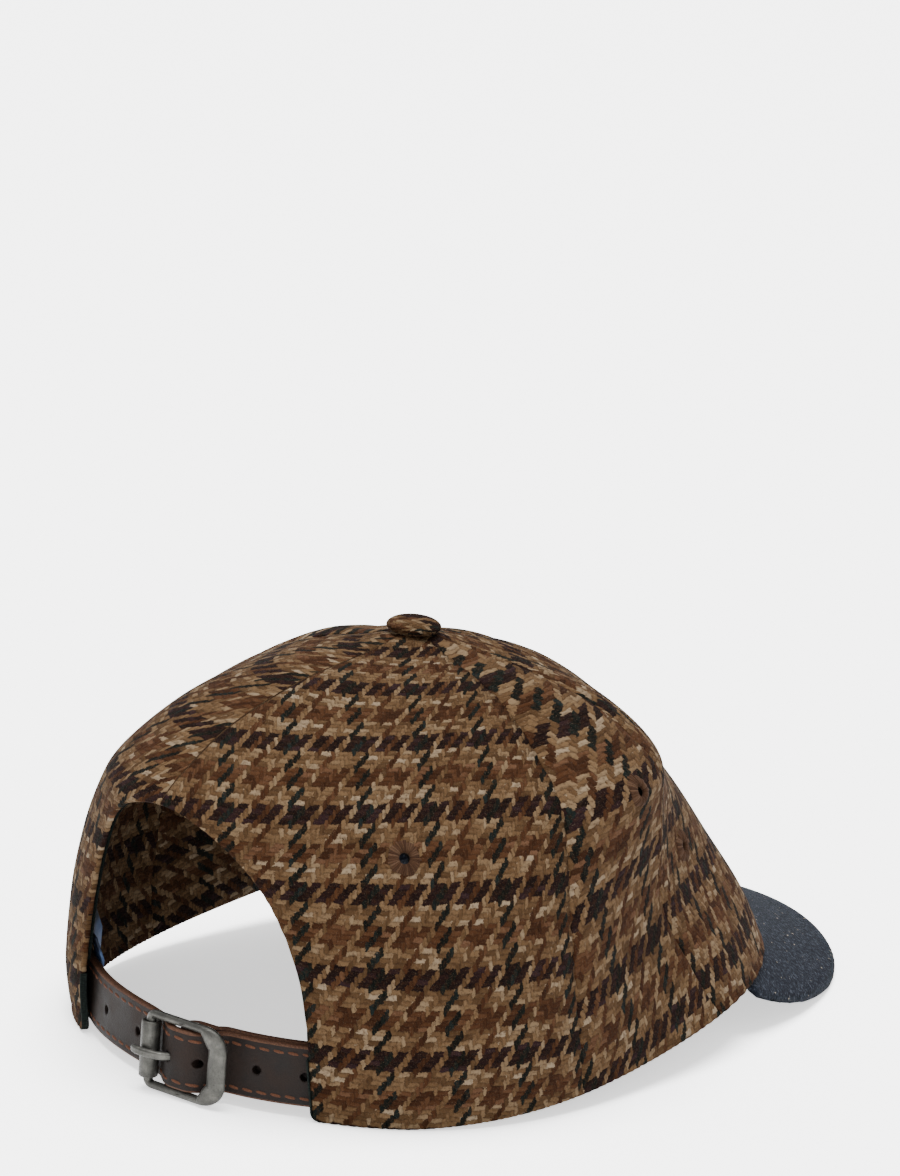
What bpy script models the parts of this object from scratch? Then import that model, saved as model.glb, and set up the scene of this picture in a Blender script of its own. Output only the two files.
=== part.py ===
"""A six-panel tweed ball cap with a short wool peak and a buckled leather strap.

Metres, +Z up, the floor at z = 0. The peak points to -Y, the strap is at +Y and the wearer's left
is +X. The cap rests on its back rim and on the drooping sides of its peak.
"""
import math

import bmesh
import bpy
import numpy as np
from mathutils import Vector

# The head opening and the crown
HEAD_HALF_WIDTH = 0.0790
HEAD_HALF_LENGTH = 0.0950
CROWN_HEIGHT = 0.1075
CROWN_TOP_BACK = 0.0160
FRONT_LIFT = 0.0240
FRONT_LIFT_POWER = 1.5
RIM_FLAT_SHARE = 0.14
TWEED = 0.0020
GAP = 0.0003

# Reach of the crown from its axis, as a share of the head opening's ellipse, at each height share
CROWN_PROFILE = [
    # height, front, front corner, side, back corner, back
    (0.00, 1.00, 1.07, 1.00, 1.10, 1.03),
    (0.15, 0.96, 0.99, 0.96, 1.13, 1.05),
    (0.32, 0.89, 0.88, 0.90, 1.12, 1.07),
    (0.50, 0.78, 0.78, 0.87, 1.07, 1.13),
    (0.68, 0.64, 0.65, 0.87, 0.94, 1.19),
    (0.83, 0.46, 0.52, 0.67, 0.73, 0.97),
    (0.94, 0.27, 0.29, 0.37, 0.43, 0.55),
    (1.00, 0.00, 0.00, 0.00, 0.00, 0.00),
]
PROFILE_TURNS = np.radians([0, 45, 90, 135, 180])

# Seams, as turns from the front, with the bow they take halfway up
FRONT_SEAM_TURN = math.radians(70)
FRONT_SEAM_BOW = math.radians(7)
BACK_SEAM_TURN = math.radians(106)
BACK_SEAM_BOW = math.radians(3)
TOP_HOLE_SHARE = 0.004

# The arched opening at the back and the tape inside it
OPENING_HALF_WIDTH = 0.0410
OPENING_HEIGHT = 0.0765
OPENING_SIDE_POWER = 2.0
OPENING_TOP_POWER = 2.35
TAPE_WIDTH = 0.0080
TAPE_THICK = 0.0010
TAPE_ABOVE_STRAP = 0.0015

# Embroidered eyelets
EYELETS = [
    # name, turn from the front in degrees, share of the crown's height
    ("front", 59, 0.415),
    ("side", 89, 0.705),
    ("back", 140, 0.640),
]
EYELET_HOLE_RADIUS = 0.0014
EYELET_STEM_RADIUS = 0.0026
EYELET_FLANGE_RADIUS = 0.0042
EYELET_FLANGE_THICK = 0.0009

# The covered button
BUTTON_RADIUS = 0.0073
BUTTON_HEIGHT = 0.0048
BUTTON_EDGE_SHARE = 0.25
BUTTON_BASE_SHARE = 0.90
BUTTON_SHANK_RADIUS = 0.0010
BUTTON_SHANK = 0.0060

# The peak
PEAK_CORNER_TURN = math.radians(58.5)
PEAK_LENGTH = 0.0520
PEAK_OUTLINE_POWER = 2.1
PEAK_SLOPE = 0.34
PEAK_ARCH_REACH = 0.0150
PEAK_THICK = 0.0030

# The label sewn inside over the end of the strap, past the wearer's left edge of the opening
LABEL_WIDTH = 0.0300
LABEL_HEIGHT = 0.0200
LABEL_THICK = 0.0010
LABEL_FROM_EDGE = 0.0015
LABEL_BOTTOM = 0.0050
LABEL_LEAN = 0.40

# The leather strap: heights above the floor, then depths outward from its base line
STRAP_WIDTH = 0.0160
STRAP_BOTTOM = 0.0027
STRAP_BULGE = 0.0018
TONGUE_THICK = 0.0024
ANCHOR_THICK = 0.0022
TONGUE_OUT = 0.0010
STRAP_BEHIND_PANEL = 0.0140
BASE_LINE_REACH = 2.5
STRAP_HOLE_RADIUS = 0.0012
STRAP_HOLE_PLACES = (-0.0385, -0.0262, -0.0132, 0.0118, 0.0288)

# The buckle: places along the strap from the middle of the back, the wearer's left positive
ROLLER_PLACE = 0.0015
CENTRE_BAR_PLACE = -0.0085
END_BAR_PLACE = -0.0185
BUCKLE_OUT = 0.0076
CENTRE_BAR_OUT = 0.0026
CENTRE_BAR_RADIUS = 0.0012
ROLLER_RADIUS = 0.0025
ROLLER_WALL = 0.0007
ROLLER_BAR_RADIUS = 0.0012
END_BAR_HALF_WIDTH = 0.0024
SIDE_BAR_HALF_WIDTH = 0.0011
FRAME_HALF_DEPTH = 0.0015
FRAME_CORNER_RADIUS = 0.0045
PRONG_RADIUS = 0.0011
PRONG_LOOP_SHARE = 0.7
PRONG_TIP_PAST_ROLLER = 0.0028

# Mesh fineness
SEAM_ROWS = 16
PANEL_COLUMNS = {"front": 12, "side": 8, "back": 12}
BUTTON_SIDES = 16
PEAK_ROWS = 8
PEAK_COLUMNS = 28
PEAK_SIDE_SHARE = 0.985
TAPE_STEPS = 14
LABEL_ROWS = 3
LABEL_COLUMNS = 6
BASE_STEPS = 80
STRAP_STEPS = 56
CORNER_STEPS = 5
ROUND_SIDES = 12
WIRE_SIDES = 8


def smooth(stops, values, at):
    """Monotone cubic curve through values at increasing stops, read at one or many places."""
    stops, values = np.asarray(stops, float), np.asarray(values, float)
    at = np.clip(np.asarray(at, float), stops[0], stops[-1])
    step = np.diff(stops)
    rise = np.diff(values) / step
    slope = np.concatenate([rise[:1], np.zeros(len(rise) - 1), rise[-1:]])
    for i in range(1, len(rise)):
        if rise[i - 1] * rise[i] > 0:
            near, far = 2 * step[i] + step[i - 1], step[i] + 2 * step[i - 1]
            slope[i] = (near + far) / (near / rise[i - 1] + far / rise[i])
    i = np.clip(np.searchsorted(stops, at, side="right") - 1, 0, len(step) - 1)
    s = (at - stops[i]) / step[i]
    rest = 1 - s
    return (
        values[i] * (1 + 2 * s) * rest**2
        + slope[i] * step[i] * s * rest**2
        + values[i + 1] * (3 - 2 * s) * s**2
        - slope[i + 1] * step[i] * s**2 * rest
    )


WAVES = np.cos(np.outer(PROFILE_TURNS, np.arange(len(PROFILE_TURNS))))
WAVE_SHARES = np.linalg.inv(WAVES)


def reach(turn, share):
    """Crown's reach from its axis at a turn from the front and a share of its height."""
    heights = [row[0] for row in CROWN_PROFILE]
    columns = [smooth(heights, [row[i] for row in CROWN_PROFILE], share) for i in range(1, 6)]
    waves = WAVE_SHARES @ np.array(columns)
    return sum(wave * np.cos(k * turn) for k, wave in enumerate(waves))


def rim_height(turn):
    """Height of the rim above the floor: flat at the back, lifted at the front by the peak."""
    front_share = (1 + math.cos(turn)) / 2
    flat = RIM_FLAT_SHARE**FRONT_LIFT_POWER
    return FRONT_LIFT * max(0.0, front_share**FRONT_LIFT_POWER - flat) / (1 - flat)


def crown_point(turn, share):
    """Point on the crown's outer face. A positive turn goes to the wearer's right, -X."""
    r = reach(turn, share)
    rim = rim_height(turn)
    return Vector((
        -r * HEAD_HALF_WIDTH * math.sin(turn),
        CROWN_TOP_BACK - r * (HEAD_HALF_LENGTH * math.cos(turn) + CROWN_TOP_BACK),
        rim + share * (CROWN_HEIGHT - rim),
    ))


def crown_normal(turn, share):
    """Outward unit normal of the crown's outer face."""
    step = 1e-3
    low, high = max(share - step, 0), min(share + step, 1 - TOP_HOLE_SHARE / 2)
    along = crown_point(turn + step, share) - crown_point(turn - step, share)
    up = crown_point(turn, high) - crown_point(turn, low)
    return up.cross(along).normalized()


def inside_crown(turn, share, depth):
    """Point at a depth inside the crown's outer face. At the rim the depth is level."""
    normal = crown_normal(turn, share)
    if share <= 0:
        normal = Vector((normal.x, normal.y, 0)).normalized()
    return crown_point(turn, share) - depth * normal


def material(name, colour, roughness, metallic=0.0):
    made = bpy.data.materials.new(name)
    made.use_nodes = True
    shader = made.node_tree.nodes["Principled BSDF"]
    shader.inputs["Base Color"].default_value = (*colour, 1)
    shader.inputs["Roughness"].default_value = roughness
    shader.inputs["Metallic"].default_value = metallic
    return made


def add_object(name, mesh, finish=None):
    obj = bpy.data.objects.new(name, mesh)
    bpy.context.scene.collection.objects.link(obj)
    if finish:
        mesh.materials.append(finish)
        mesh.shade_smooth()
        mesh.set_sharp_from_angle(angle=math.radians(40))
    return obj


def closed_mesh(name, loops, closed_path=False):
    """Skin over equal loops of points: each loop is a section, and end sections are capped."""
    mesh = bmesh.new()
    rings = [[mesh.verts.new(point) for point in loop] for loop in loops]
    pairs = list(zip(rings, rings[1:] + rings[:1])) if closed_path else list(zip(rings, rings[1:]))
    for first, second in pairs:
        for i in range(len(first)):
            j = (i + 1) % len(first)
            mesh.faces.new((first[i], first[j], second[j], second[i]))
    if not closed_path:
        mesh.faces.new(rings[0][::-1])
        mesh.faces.new(rings[-1])
    return finished(name, mesh)


def finished(name, mesh):
    """Mesh data with its faces turned outward."""
    bmesh.ops.recalc_face_normals(mesh, faces=mesh.faces)
    data = bpy.data.meshes.new(name)
    mesh.to_mesh(data)
    mesh.free()
    return data


def thick_sheet(name, outer, inner):
    """Closed wall between two equal grids of points."""
    mesh = bmesh.new()
    tall, wide = len(outer), len(outer[0])
    skins = [[[mesh.verts.new(p) for p in row] for row in grid] for grid in (outer, inner)]
    for skin in skins:
        for i in range(tall - 1):
            for j in range(wide - 1):
                mesh.faces.new((skin[i][j], skin[i][j + 1], skin[i + 1][j + 1], skin[i + 1][j]))
    border = [(0, j) for j in range(wide)] + [(i, wide - 1) for i in range(1, tall)]
    border += [(tall - 1, j) for j in range(wide - 2, -1, -1)] + [(i, 0) for i in range(tall - 2, 0, -1)]
    for (i, j), (k, m) in zip(border, border[1:] + border[:1]):
        mesh.faces.new((skins[0][i][j], skins[0][k][m], skins[1][k][m], skins[1][i][j]))
    return finished(name, mesh)


def cut(target, cutter):
    """Subtract a hidden cutter from a piece."""
    cutter.hide_render = True
    cutter.display_type = "WIRE"
    modifier = target.modifiers.new(cutter.name, "BOOLEAN")
    modifier.operation = "DIFFERENCE"
    modifier.object = cutter


def rod(name, start, end, radius, sides=ROUND_SIDES):
    """Straight round rod between two points."""
    start, end = Vector(start), Vector(end)
    along = (end - start).normalized()
    across = along.orthogonal().normalized()
    other = along.cross(across)
    turns = [2 * math.pi * i / sides for i in range(sides)]
    ring = [radius * (math.cos(t) * across + math.sin(t) * other) for t in turns]
    return closed_mesh(name, [[end_point + p for p in ring] for end_point in (start, end)])


# Crown panels

def shifted(turn, share, side):
    """Turn moved off a seam by half the gap, to the given side."""
    point = crown_point(turn, share)
    radius = math.hypot(point.x, point.y - CROWN_TOP_BACK)
    return turn + side * GAP / 2 / radius


def seam_turn(base, bow, share):
    return base + bow * 4 * share * (1 - share)


def to_chart(turn, share):
    """Flat chart of the crown with its top at the middle, in which panels are gridded."""
    radius = 1 - math.asin(min(share, 1)) * 2 / math.pi
    return np.array([radius * math.sin(turn), radius * math.cos(turn)])


def from_chart(place):
    radius = float(np.hypot(*place))
    return math.atan2(place[0], place[1]), round(math.sin((1 - radius) * math.pi / 2), 9)


def row_share(row):
    top = math.asin(1 - TOP_HOLE_SHARE)
    return math.sin(top * row / SEAM_ROWS)


def panel_places(edges, columns):
    """Grid of chart places between four edges: rim, top, and the seams at either side."""
    rim, top, first, last = edges
    grid = []
    for i in range(SEAM_ROWS + 1):
        s = i / SEAM_ROWS
        row = []
        for j in range(columns + 1):
            u = j / columns
            corners = (1 - s) * ((1 - u) * rim(0) + u * rim(1)) + s * ((1 - u) * top(0) + u * top(1))
            row.append((1 - s) * rim(u) + s * top(u) + (1 - u) * first(s) + u * last(s) - corners)
        grid.append(row)
    return grid


def seam_edge(base, bow, side):
    def edge(s):
        share = row_share(s * SEAM_ROWS)
        return to_chart(shifted(seam_turn(base, bow, share), share, side), share)
    return edge


def level_edge(first, last, share):
    """Edge at one height share, from one seam to the next."""
    return lambda u: to_chart(first + u * (last - first), share)


def opening_place(u, grow=0.0):
    """Turn and height share on the arch of the back opening, u from 0 at the rim to 1 at its top."""
    angle = u * math.pi / 2
    x = -(OPENING_HALF_WIDTH + grow) * math.cos(angle) ** (2 / OPENING_SIDE_POWER)
    z = (OPENING_HEIGHT + grow) * math.sin(angle) ** (2 / OPENING_TOP_POWER)
    low, high = math.pi / 2, math.pi
    for _ in range(50):
        turn = (low + high) / 2
        rim = rim_height(turn)
        share = max(0.0, (z - rim) / (CROWN_HEIGHT - rim))
        low, high = (turn, high) if crown_point(turn, share).x < x else (low, turn)
    return turn, share


def opening_edge(u):
    turn, share = opening_place(u)
    return to_chart(min(turn, shifted(math.pi, share, -1)), share)


def crown_panel(name, edges, columns, mirrored, finish):
    places = [[from_chart(p) for p in row] for row in panel_places(edges, columns)]
    flip = Vector((-1 if mirrored else 1, 1, 1))
    outer = [[inside_crown(t, s, 0) * flip for t, s in row] for row in places]
    inner = [[inside_crown(t, s, TWEED) * flip for t, s in row] for row in places]
    return add_object(name, thick_sheet(name, outer, inner), finish)


def build_panels(finish):
    """Front, side and back panels for the wearer's right, then their mirror images."""
    top = 1 - TOP_HOLE_SHARE
    front = (FRONT_SEAM_TURN, FRONT_SEAM_BOW)
    back = (BACK_SEAM_TURN, BACK_SEAM_BOW)

    def between(first, last):
        ends = []
        for share in (0, top):
            start = shifted(seam_turn(*first, share), share, 1)
            stop = shifted(seam_turn(*last, share), share, -1)
            ends.append(level_edge(start, stop, share))
        return ends[0], ends[1], seam_edge(*first, 1), seam_edge(*last, -1)

    corner_turn = opening_place(0)[0]
    arch_top = opening_place(1)[1]

    def back_rim(u):
        start = shifted(seam_turn(*back, 0), 0, 1)
        return to_chart(start + u * (corner_turn - start), 0)

    def back_top(u):
        start = seam_edge(*back, 1)(1)
        if u == 0:
            return start
        share = math.sin(math.asin(top) * (1 - u) + math.asin(arch_top) * u)
        return to_chart(shifted(math.pi, share, -1), share)

    edges = {
        "front": between((0, 0), front),
        "side": between(front, back),
        "back": (back_rim, back_top, seam_edge(*back, 1), opening_edge),
    }
    panels = {}
    for place, sides in edges.items():
        for hand, mirrored in (("right", False), ("left", True)):
            name = f"{place}_panel_{hand}"
            panels[place, hand] = crown_panel(name, sides, PANEL_COLUMNS[place], mirrored, finish)
    return panels


# Eyelets and button

def turned(name, profile, origin, axis, sides=ROUND_SIDES):
    """Closed ring turned about an axis from (radius, height) points."""
    axis = Vector(axis).normalized()
    across = axis.orthogonal().normalized()
    other = axis.cross(across)
    loops = []
    for i in range(sides):
        t = 2 * math.pi * i / sides
        out = math.cos(t) * across + math.sin(t) * other
        loops.append([Vector(origin) + r * out + h * axis for r, h in profile])
    return closed_mesh(name, loops, closed_path=True)


def build_eyelets(panels, finish):
    """Sewn rings: a stem through the cloth with a flange standing just clear of the outer face."""
    low = -TWEED - EYELET_FLANGE_THICK / 2
    high = GAP + EYELET_FLANGE_THICK
    profile = [
        (EYELET_HOLE_RADIUS, low), (EYELET_STEM_RADIUS, low), (EYELET_STEM_RADIUS, GAP),
        (EYELET_FLANGE_RADIUS, GAP), (EYELET_FLANGE_RADIUS - GAP, high - GAP),
        (EYELET_STEM_RADIUS, high), (EYELET_HOLE_RADIUS, high - GAP),
    ]
    for place, degrees, share in EYELETS:
        for hand, side in (("right", 1), ("left", -1)):
            turn = side * math.radians(degrees)
            centre, normal = crown_point(turn, share), crown_normal(turn, share)
            name = f"eyelet_{place}_{hand}"
            add_object(name, turned(name, profile, centre, normal), finish)
            reach_through = 3 * TWEED
            ends = centre - reach_through * normal, centre + reach_through * normal
            cutter = rod(f"cut_{name}", *ends, EYELET_STEM_RADIUS + GAP)
            cut(panels[place, hand], add_object(f"cut_{name}", cutter))


def build_button(finish):
    """Domed button over the point where the six panels meet, with its shank through the hole."""
    base = Vector((0, CROWN_TOP_BACK, CROWN_HEIGHT + GAP))
    outline = [
        (BUTTON_SHANK_RADIUS, -BUTTON_SHANK),
        (BUTTON_SHANK_RADIUS, 0),
        (BUTTON_BASE_SHARE * BUTTON_RADIUS, 0),
    ]
    for t in np.radians([0, 18, 36, 54, 72]):
        rise = BUTTON_EDGE_SHARE + (1 - BUTTON_EDGE_SHARE) * math.sin(t)
        outline.append((BUTTON_RADIUS * math.cos(t), BUTTON_HEIGHT * rise))
    turns = [2 * math.pi * i / BUTTON_SIDES for i in range(BUTTON_SIDES)]
    loops = [[base + Vector((r * math.cos(t), r * math.sin(t), h)) for t in turns] for r, h in outline]
    add_object("button", closed_mesh("button", loops), finish)


# Peak

def peak_place(side, out):
    """Level place on the peak, its drop below the root with no droop, and its share of the droop.

    Side runs -1 to 1 across the peak, out 0 at the rim to 1 at the free edge.
    """
    corner, front = crown_point(PEAK_CORNER_TURN, 0), crown_point(0, 0)
    root = inside_crown(side * PEAK_CORNER_TURN, 0, TWEED)
    angle = side * math.pi / 2
    power = 2 / PEAK_OUTLINE_POWER
    edge_x = corner.x * math.copysign(abs(math.sin(angle)) ** power, angle)
    edge_y = corner.y + (front.y - PEAK_LENGTH - corner.y) * math.cos(angle) ** power
    root_y = corner.y + (front.y - corner.y) * math.sqrt(1 - (edge_x / corner.x) ** 2)
    forward = out * max(0.0, root_y - edge_y)
    x, y = root.x + (edge_x - root.x) * out, root.y + (edge_y - root.y) * out
    across = (x / corner.x) ** 2
    root_arch = rim_height(0) - rim_height(PEAK_CORNER_TURN)
    drop = root_arch * (across - (root.x / corner.x) ** 2) + PEAK_SLOPE * forward
    return x, y, drop, across * (1 - math.exp(-forward / PEAK_ARCH_REACH))


def peak_grid(depth, droop):
    """Rows of points on a face of the peak, from its root to its free edge."""
    grid = []
    for i in range(PEAK_ROWS + 1):
        row = []
        for j in range(PEAK_COLUMNS + 1):
            side = PEAK_SIDE_SHARE * (2 * j / PEAK_COLUMNS - 1)
            x, y, drop, share = peak_place(side, i / PEAK_ROWS)
            root_z = rim_height(side * PEAK_CORNER_TURN) - GAP
            row.append(Vector((x, y, root_z - drop - droop * share - depth)))
        grid.append(row)
    return grid


def peak_droop():
    """Droop at which the sides of the peak just reach the floor."""
    level, lowered = peak_grid(PEAK_THICK, 0), peak_grid(PEAK_THICK, 1)
    falls = [(p.z, p.z - q.z) for a, b in zip(level, lowered) for p, q in zip(a, b)]
    return min(height / fall for height, fall in falls if fall > 0)


def build_peak(finish):
    droop = peak_droop()
    faces = peak_grid(0, droop), peak_grid(PEAK_THICK, droop)
    add_object("peak", thick_sheet("peak", *faces), finish)


# Tape inside the opening

def strap_top():
    return STRAP_BOTTOM + STRAP_WIDTH


def build_tape(finish):
    """Tape that covers the opening's raw edge inside, from one end of the strap to the other."""
    floor_u = 0.0
    while opening_place(floor_u)[1] * CROWN_HEIGHT < strap_top() + TAPE_ABOVE_STRAP:
        floor_u += 0.005
    half = [floor_u + (1 - floor_u) * i / TAPE_STEPS for i in range(TAPE_STEPS + 1)]
    outer, inner = [], []
    for grow in (GAP, TAPE_WIDTH):
        for grid, depth in ((outer, TWEED + GAP), (inner, TWEED + GAP + TAPE_THICK)):
            right = [inside_crown(*opening_place(u, grow), depth) for u in half]
            left = [p * Vector((-1, 1, 1)) for p in right[-2::-1]]
            grid.append(right + left)
    add_object("opening_tape", thick_sheet("opening_tape", outer, inner), finish)


# Label, strap and buckle, laid out along the base line of the strap

def base_line():
    """Points and lengths along the strap's base line, from the wearer's left to right."""
    corner = math.pi - opening_place(0)[0]
    span = corner * BASE_LINE_REACH
    points = []
    for i in range(2 * BASE_STEPS + 1):
        off = span * (i / BASE_STEPS - 1)
        bulge = STRAP_BULGE * math.cos(min(1, abs(off) / corner) * math.pi / 2)
        points.append(inside_crown(math.pi + off, 0, TWEED + GAP - bulge))
    lengths = [0.0]
    for a, b in zip(points, points[1:]):
        lengths.append(lengths[-1] + (b - a).length)
    middle = lengths[BASE_STEPS]
    return points, [length - middle for length in lengths]


BASE_POINTS, BASE_LENGTHS = base_line()
CORNER_PLACE = float(np.interp(OPENING_HALF_WIDTH, [p.x for p in BASE_POINTS], BASE_LENGTHS))


def base_point(place):
    x, y = (float(np.interp(place, BASE_LENGTHS, [p[k] for p in BASE_POINTS])) for k in (0, 1))
    return Vector((x, y, 0))


def on_strap(place, out, z):
    """Point at a place along the base line, a distance outward from it and a height."""
    step = 1e-3
    before, here, after = (base_point(place + d) for d in (-step, 0, step))
    along = (after - before).normalized()
    return Vector((here.x - along.y * out, here.y + along.x * out, z))


def build_label(finish):
    """Bare woven label over the end of the strap on the wearer's left, leaning to the wall above."""
    grids = ([], [])
    for i in range(LABEL_ROWS + 1):
        z = LABEL_BOTTOM + LABEL_HEIGHT * i / LABEL_ROWS
        lean = LABEL_LEAN * max(0.0, z - strap_top())
        for grid, more in zip(grids, (0, LABEL_THICK)):
            out = lean - TONGUE_THICK - GAP - more
            row = []
            for j in range(LABEL_COLUMNS + 1):
                along = LABEL_FROM_EDGE + LABEL_WIDTH * j / LABEL_COLUMNS
                row.append(on_strap(CORNER_PLACE + along, out, z))
            grid.append(row)
    add_object("label", thick_sheet("label", *grids), finish)


def strap_band(name, path, thick, finish):
    """Band of the strap's width whose centre follows (place, out) points."""
    bottom, top = STRAP_BOTTOM, strap_top()
    loops = []
    for i, (place, out) in enumerate(path):
        before, after = path[max(i - 1, 0)], path[min(i + 1, len(path) - 1)]
        dx, dy = after[0] - before[0], after[1] - before[1]
        half = thick / 2 / math.hypot(dx, dy)
        outer = place - dy * half, out + dx * half
        inner = place + dy * half, out - dx * half
        corners = (outer, bottom), (outer, top), (inner, top), (inner, bottom)
        loops.append([on_strap(*spot, z) for spot, z in corners])
    return add_object(name, closed_mesh(name, loops), finish)


def tongue_out(place):
    """Centre of the tongue strap outward from the base line: under the roller, over the centre
    bar and the fold of the anchor strap, and under the end bar."""
    wall_out = -TONGUE_THICK / 2
    under_roller = BUCKLE_OUT - ROLLER_RADIUS - GAP - TONGUE_THICK / 2
    over_fold = CENTRE_BAR_OUT + CENTRE_BAR_RADIUS + 3 * GAP + ANCHOR_THICK + TONGUE_THICK / 2
    hump = CENTRE_BAR_RADIUS + GAP + ANCHOR_THICK
    route = [
        (-CORNER_PLACE, wall_out),
        (END_BAR_PLACE - 2 * END_BAR_HALF_WIDTH, TONGUE_OUT - GAP),
        (END_BAR_PLACE, TONGUE_OUT),
        (CENTRE_BAR_PLACE - hump / 2, over_fold - GAP / 2),
        (CENTRE_BAR_PLACE + hump / 2, over_fold - GAP / 2),
        (ROLLER_PLACE - ROLLER_RADIUS / 2, under_roller),
        (ROLLER_PLACE + 3 * ROLLER_RADIUS, TONGUE_OUT + GAP),
        (CORNER_PLACE, wall_out),
    ]
    return float(smooth([r[0] for r in route], [r[1] for r in route], place))


def anchor_path():
    """Anchor strap: from behind the wearer's right panel, round the centre bar and back."""
    turn_radius = CENTRE_BAR_RADIUS + GAP + ANCHOR_THICK / 2
    wall_out = -TONGUE_THICK - GAP - ANCHOR_THICK / 2
    bar_out = CENTRE_BAR_OUT - turn_radius
    room = TONGUE_THICK / 2 + GAP + ANCHOR_THICK / 2
    end = -(CORNER_PLACE + STRAP_BEHIND_PANEL)
    path = []
    for place in np.linspace(end, CENTRE_BAR_PLACE, STRAP_STEPS // 2):
        beneath = min(tongue_out(place + nearby) for nearby in (-room, 0, room)) - room
        path.append((float(place), min(bar_out, wall_out if place < -CORNER_PLACE else beneath)))
    for t in np.radians(range(-60, 91, 30)):
        across, out = turn_radius * math.cos(t), turn_radius * math.sin(t)
        path.append((CENTRE_BAR_PLACE + across, CENTRE_BAR_OUT + out))
    path.append((CENTRE_BAR_PLACE - CENTRE_BAR_RADIUS, CENTRE_BAR_OUT + turn_radius))
    return path


def prong_path():
    """Wire of the prong: round the centre bar, then out through the tongue and over the roller."""
    turn_radius = CENTRE_BAR_RADIUS + GAP + PRONG_RADIUS * PRONG_LOOP_SHARE
    over_roller = BUCKLE_OUT + ROLLER_RADIUS + GAP + PRONG_RADIUS
    path = []
    for t in np.radians(range(-10, -271, -26)):
        across, out = turn_radius * math.cos(t), turn_radius * math.sin(t)
        path.append((CENTRE_BAR_PLACE + across, CENTRE_BAR_OUT + out))
    tip = ROLLER_PLACE + PRONG_TIP_PAST_ROLLER
    return path + [
        (ROLLER_PLACE - 2 * ROLLER_RADIUS, over_roller - PRONG_RADIUS),
        (ROLLER_PLACE, over_roller),
        (tip, over_roller - PRONG_RADIUS / 2),
    ]


def wire(name, points, radii, sides=WIRE_SIDES):
    """Round wire through world points that lie in one level plane."""
    loops = []
    turns = [2 * math.pi * k / sides for k in range(sides)]
    for i, (point, r) in enumerate(zip(points, radii)):
        along = (points[min(i + 1, len(points) - 1)] - points[max(i - 1, 0)]).normalized()
        across, up = Vector((-along.y, along.x, 0)), Vector((0, 0, 1))
        loops.append([point + r * (math.cos(t) * across + math.sin(t) * up) for t in turns])
    return closed_mesh(name, loops)


def buckle_middle():
    return STRAP_BOTTOM + STRAP_WIDTH / 2


def half_frame():
    return STRAP_WIDTH / 2 + GAP + SIDE_BAR_HALF_WIDTH


def frame_outline():
    """Rounded rectangle of the buckle's bars as (place, height from its middle, half width)."""
    half_tall = half_frame()
    r = FRAME_CORNER_RADIUS
    corners = [
        (END_BAR_PLACE + r, half_tall - r, 90, END_BAR_HALF_WIDTH),
        (END_BAR_PLACE + r, r - half_tall, 180, END_BAR_HALF_WIDTH),
        (ROLLER_PLACE - r / 3, r / 3 - half_tall, 270, ROLLER_BAR_RADIUS),
        (ROLLER_PLACE - r / 3, half_tall - r / 3, 0, ROLLER_BAR_RADIUS),
    ]
    outline = []
    for place, height, start, half_width in corners:
        radius = abs(half_tall - abs(height))
        for i in range(CORNER_STEPS + 1):
            share = i / CORNER_STEPS
            t = math.radians(start + 90 * share)
            level = share if start in (90, 270) else 1 - share
            width = SIDE_BAR_HALF_WIDTH + (half_width - SIDE_BAR_HALF_WIDTH) * level
            outline.append((place + radius * math.cos(t), height + radius * math.sin(t), width))
    return outline


def build_frame(finish):
    """Flat bars of the frame, joined with the cranked centre bar that carries strap and prong."""
    middle = buckle_middle()
    outline = frame_outline()
    turns = [2 * math.pi * (k + 0.5) / WIRE_SIDES for k in range(WIRE_SIDES)]
    loops = []
    for i, (place, height, half_width) in enumerate(outline):
        (a, b, _), (c, d, _) = outline[i - 1], outline[(i + 1) % len(outline)]
        length = math.hypot(c - a, d - b)
        nx, ny = (d - b) / length, -(c - a) / length
        depth = min(half_width, FRAME_HALF_DEPTH)
        loop = []
        for t in turns:
            wide, deep = half_width * math.cos(t), depth * math.sin(t)
            loop.append(on_strap(place + nx * wide, BUCKLE_OUT + deep, middle + height + ny * wide))
        loops.append(loop)
    frame = add_object("buckle_frame", closed_mesh("buckle_frame", loops, closed_path=True), finish)

    half, clear = half_frame(), STRAP_WIDTH / 2 + GAP / 2
    route = (half, BUCKLE_OUT), (clear, CENTRE_BAR_OUT), (-clear, CENTRE_BAR_OUT), (-half, BUCKLE_OUT)
    bar_loops = []
    for height, out in route:
        loop = []
        for t in turns:
            across, deep = CENTRE_BAR_RADIUS * math.cos(t), CENTRE_BAR_RADIUS * math.sin(t)
            loop.append(on_strap(CENTRE_BAR_PLACE + across, out + deep, middle + height))
        bar_loops.append(loop)
    bar = add_object("join_centre_bar", closed_mesh("join_centre_bar", bar_loops))
    bar.hide_render = True
    bar.display_type = "WIRE"
    joint = frame.modifiers.new("centre bar", "BOOLEAN")
    joint.operation = "UNION"
    joint.object = bar


def build_roller(finish):
    half = STRAP_WIDTH / 2 - SIDE_BAR_HALF_WIDTH / 2
    inner = ROLLER_RADIUS - ROLLER_WALL
    tube = [(inner, -half), (ROLLER_RADIUS, -half), (ROLLER_RADIUS, half), (inner, half)]
    origin = on_strap(ROLLER_PLACE, BUCKLE_OUT, buckle_middle())
    add_object("buckle_roller", turned("buckle_roller", tube, origin, (0, 0, 1)), finish)


def build_prong(finish):
    path = prong_path()
    route = [on_strap(place, out, buckle_middle()) for place, out in path]
    thin = PRONG_RADIUS * PRONG_LOOP_SHARE
    radii = [thin] * (len(path) - 3) + [PRONG_RADIUS, PRONG_RADIUS, thin]
    add_object("buckle_prong", wire("buckle_prong", route, radii), finish)


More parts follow.
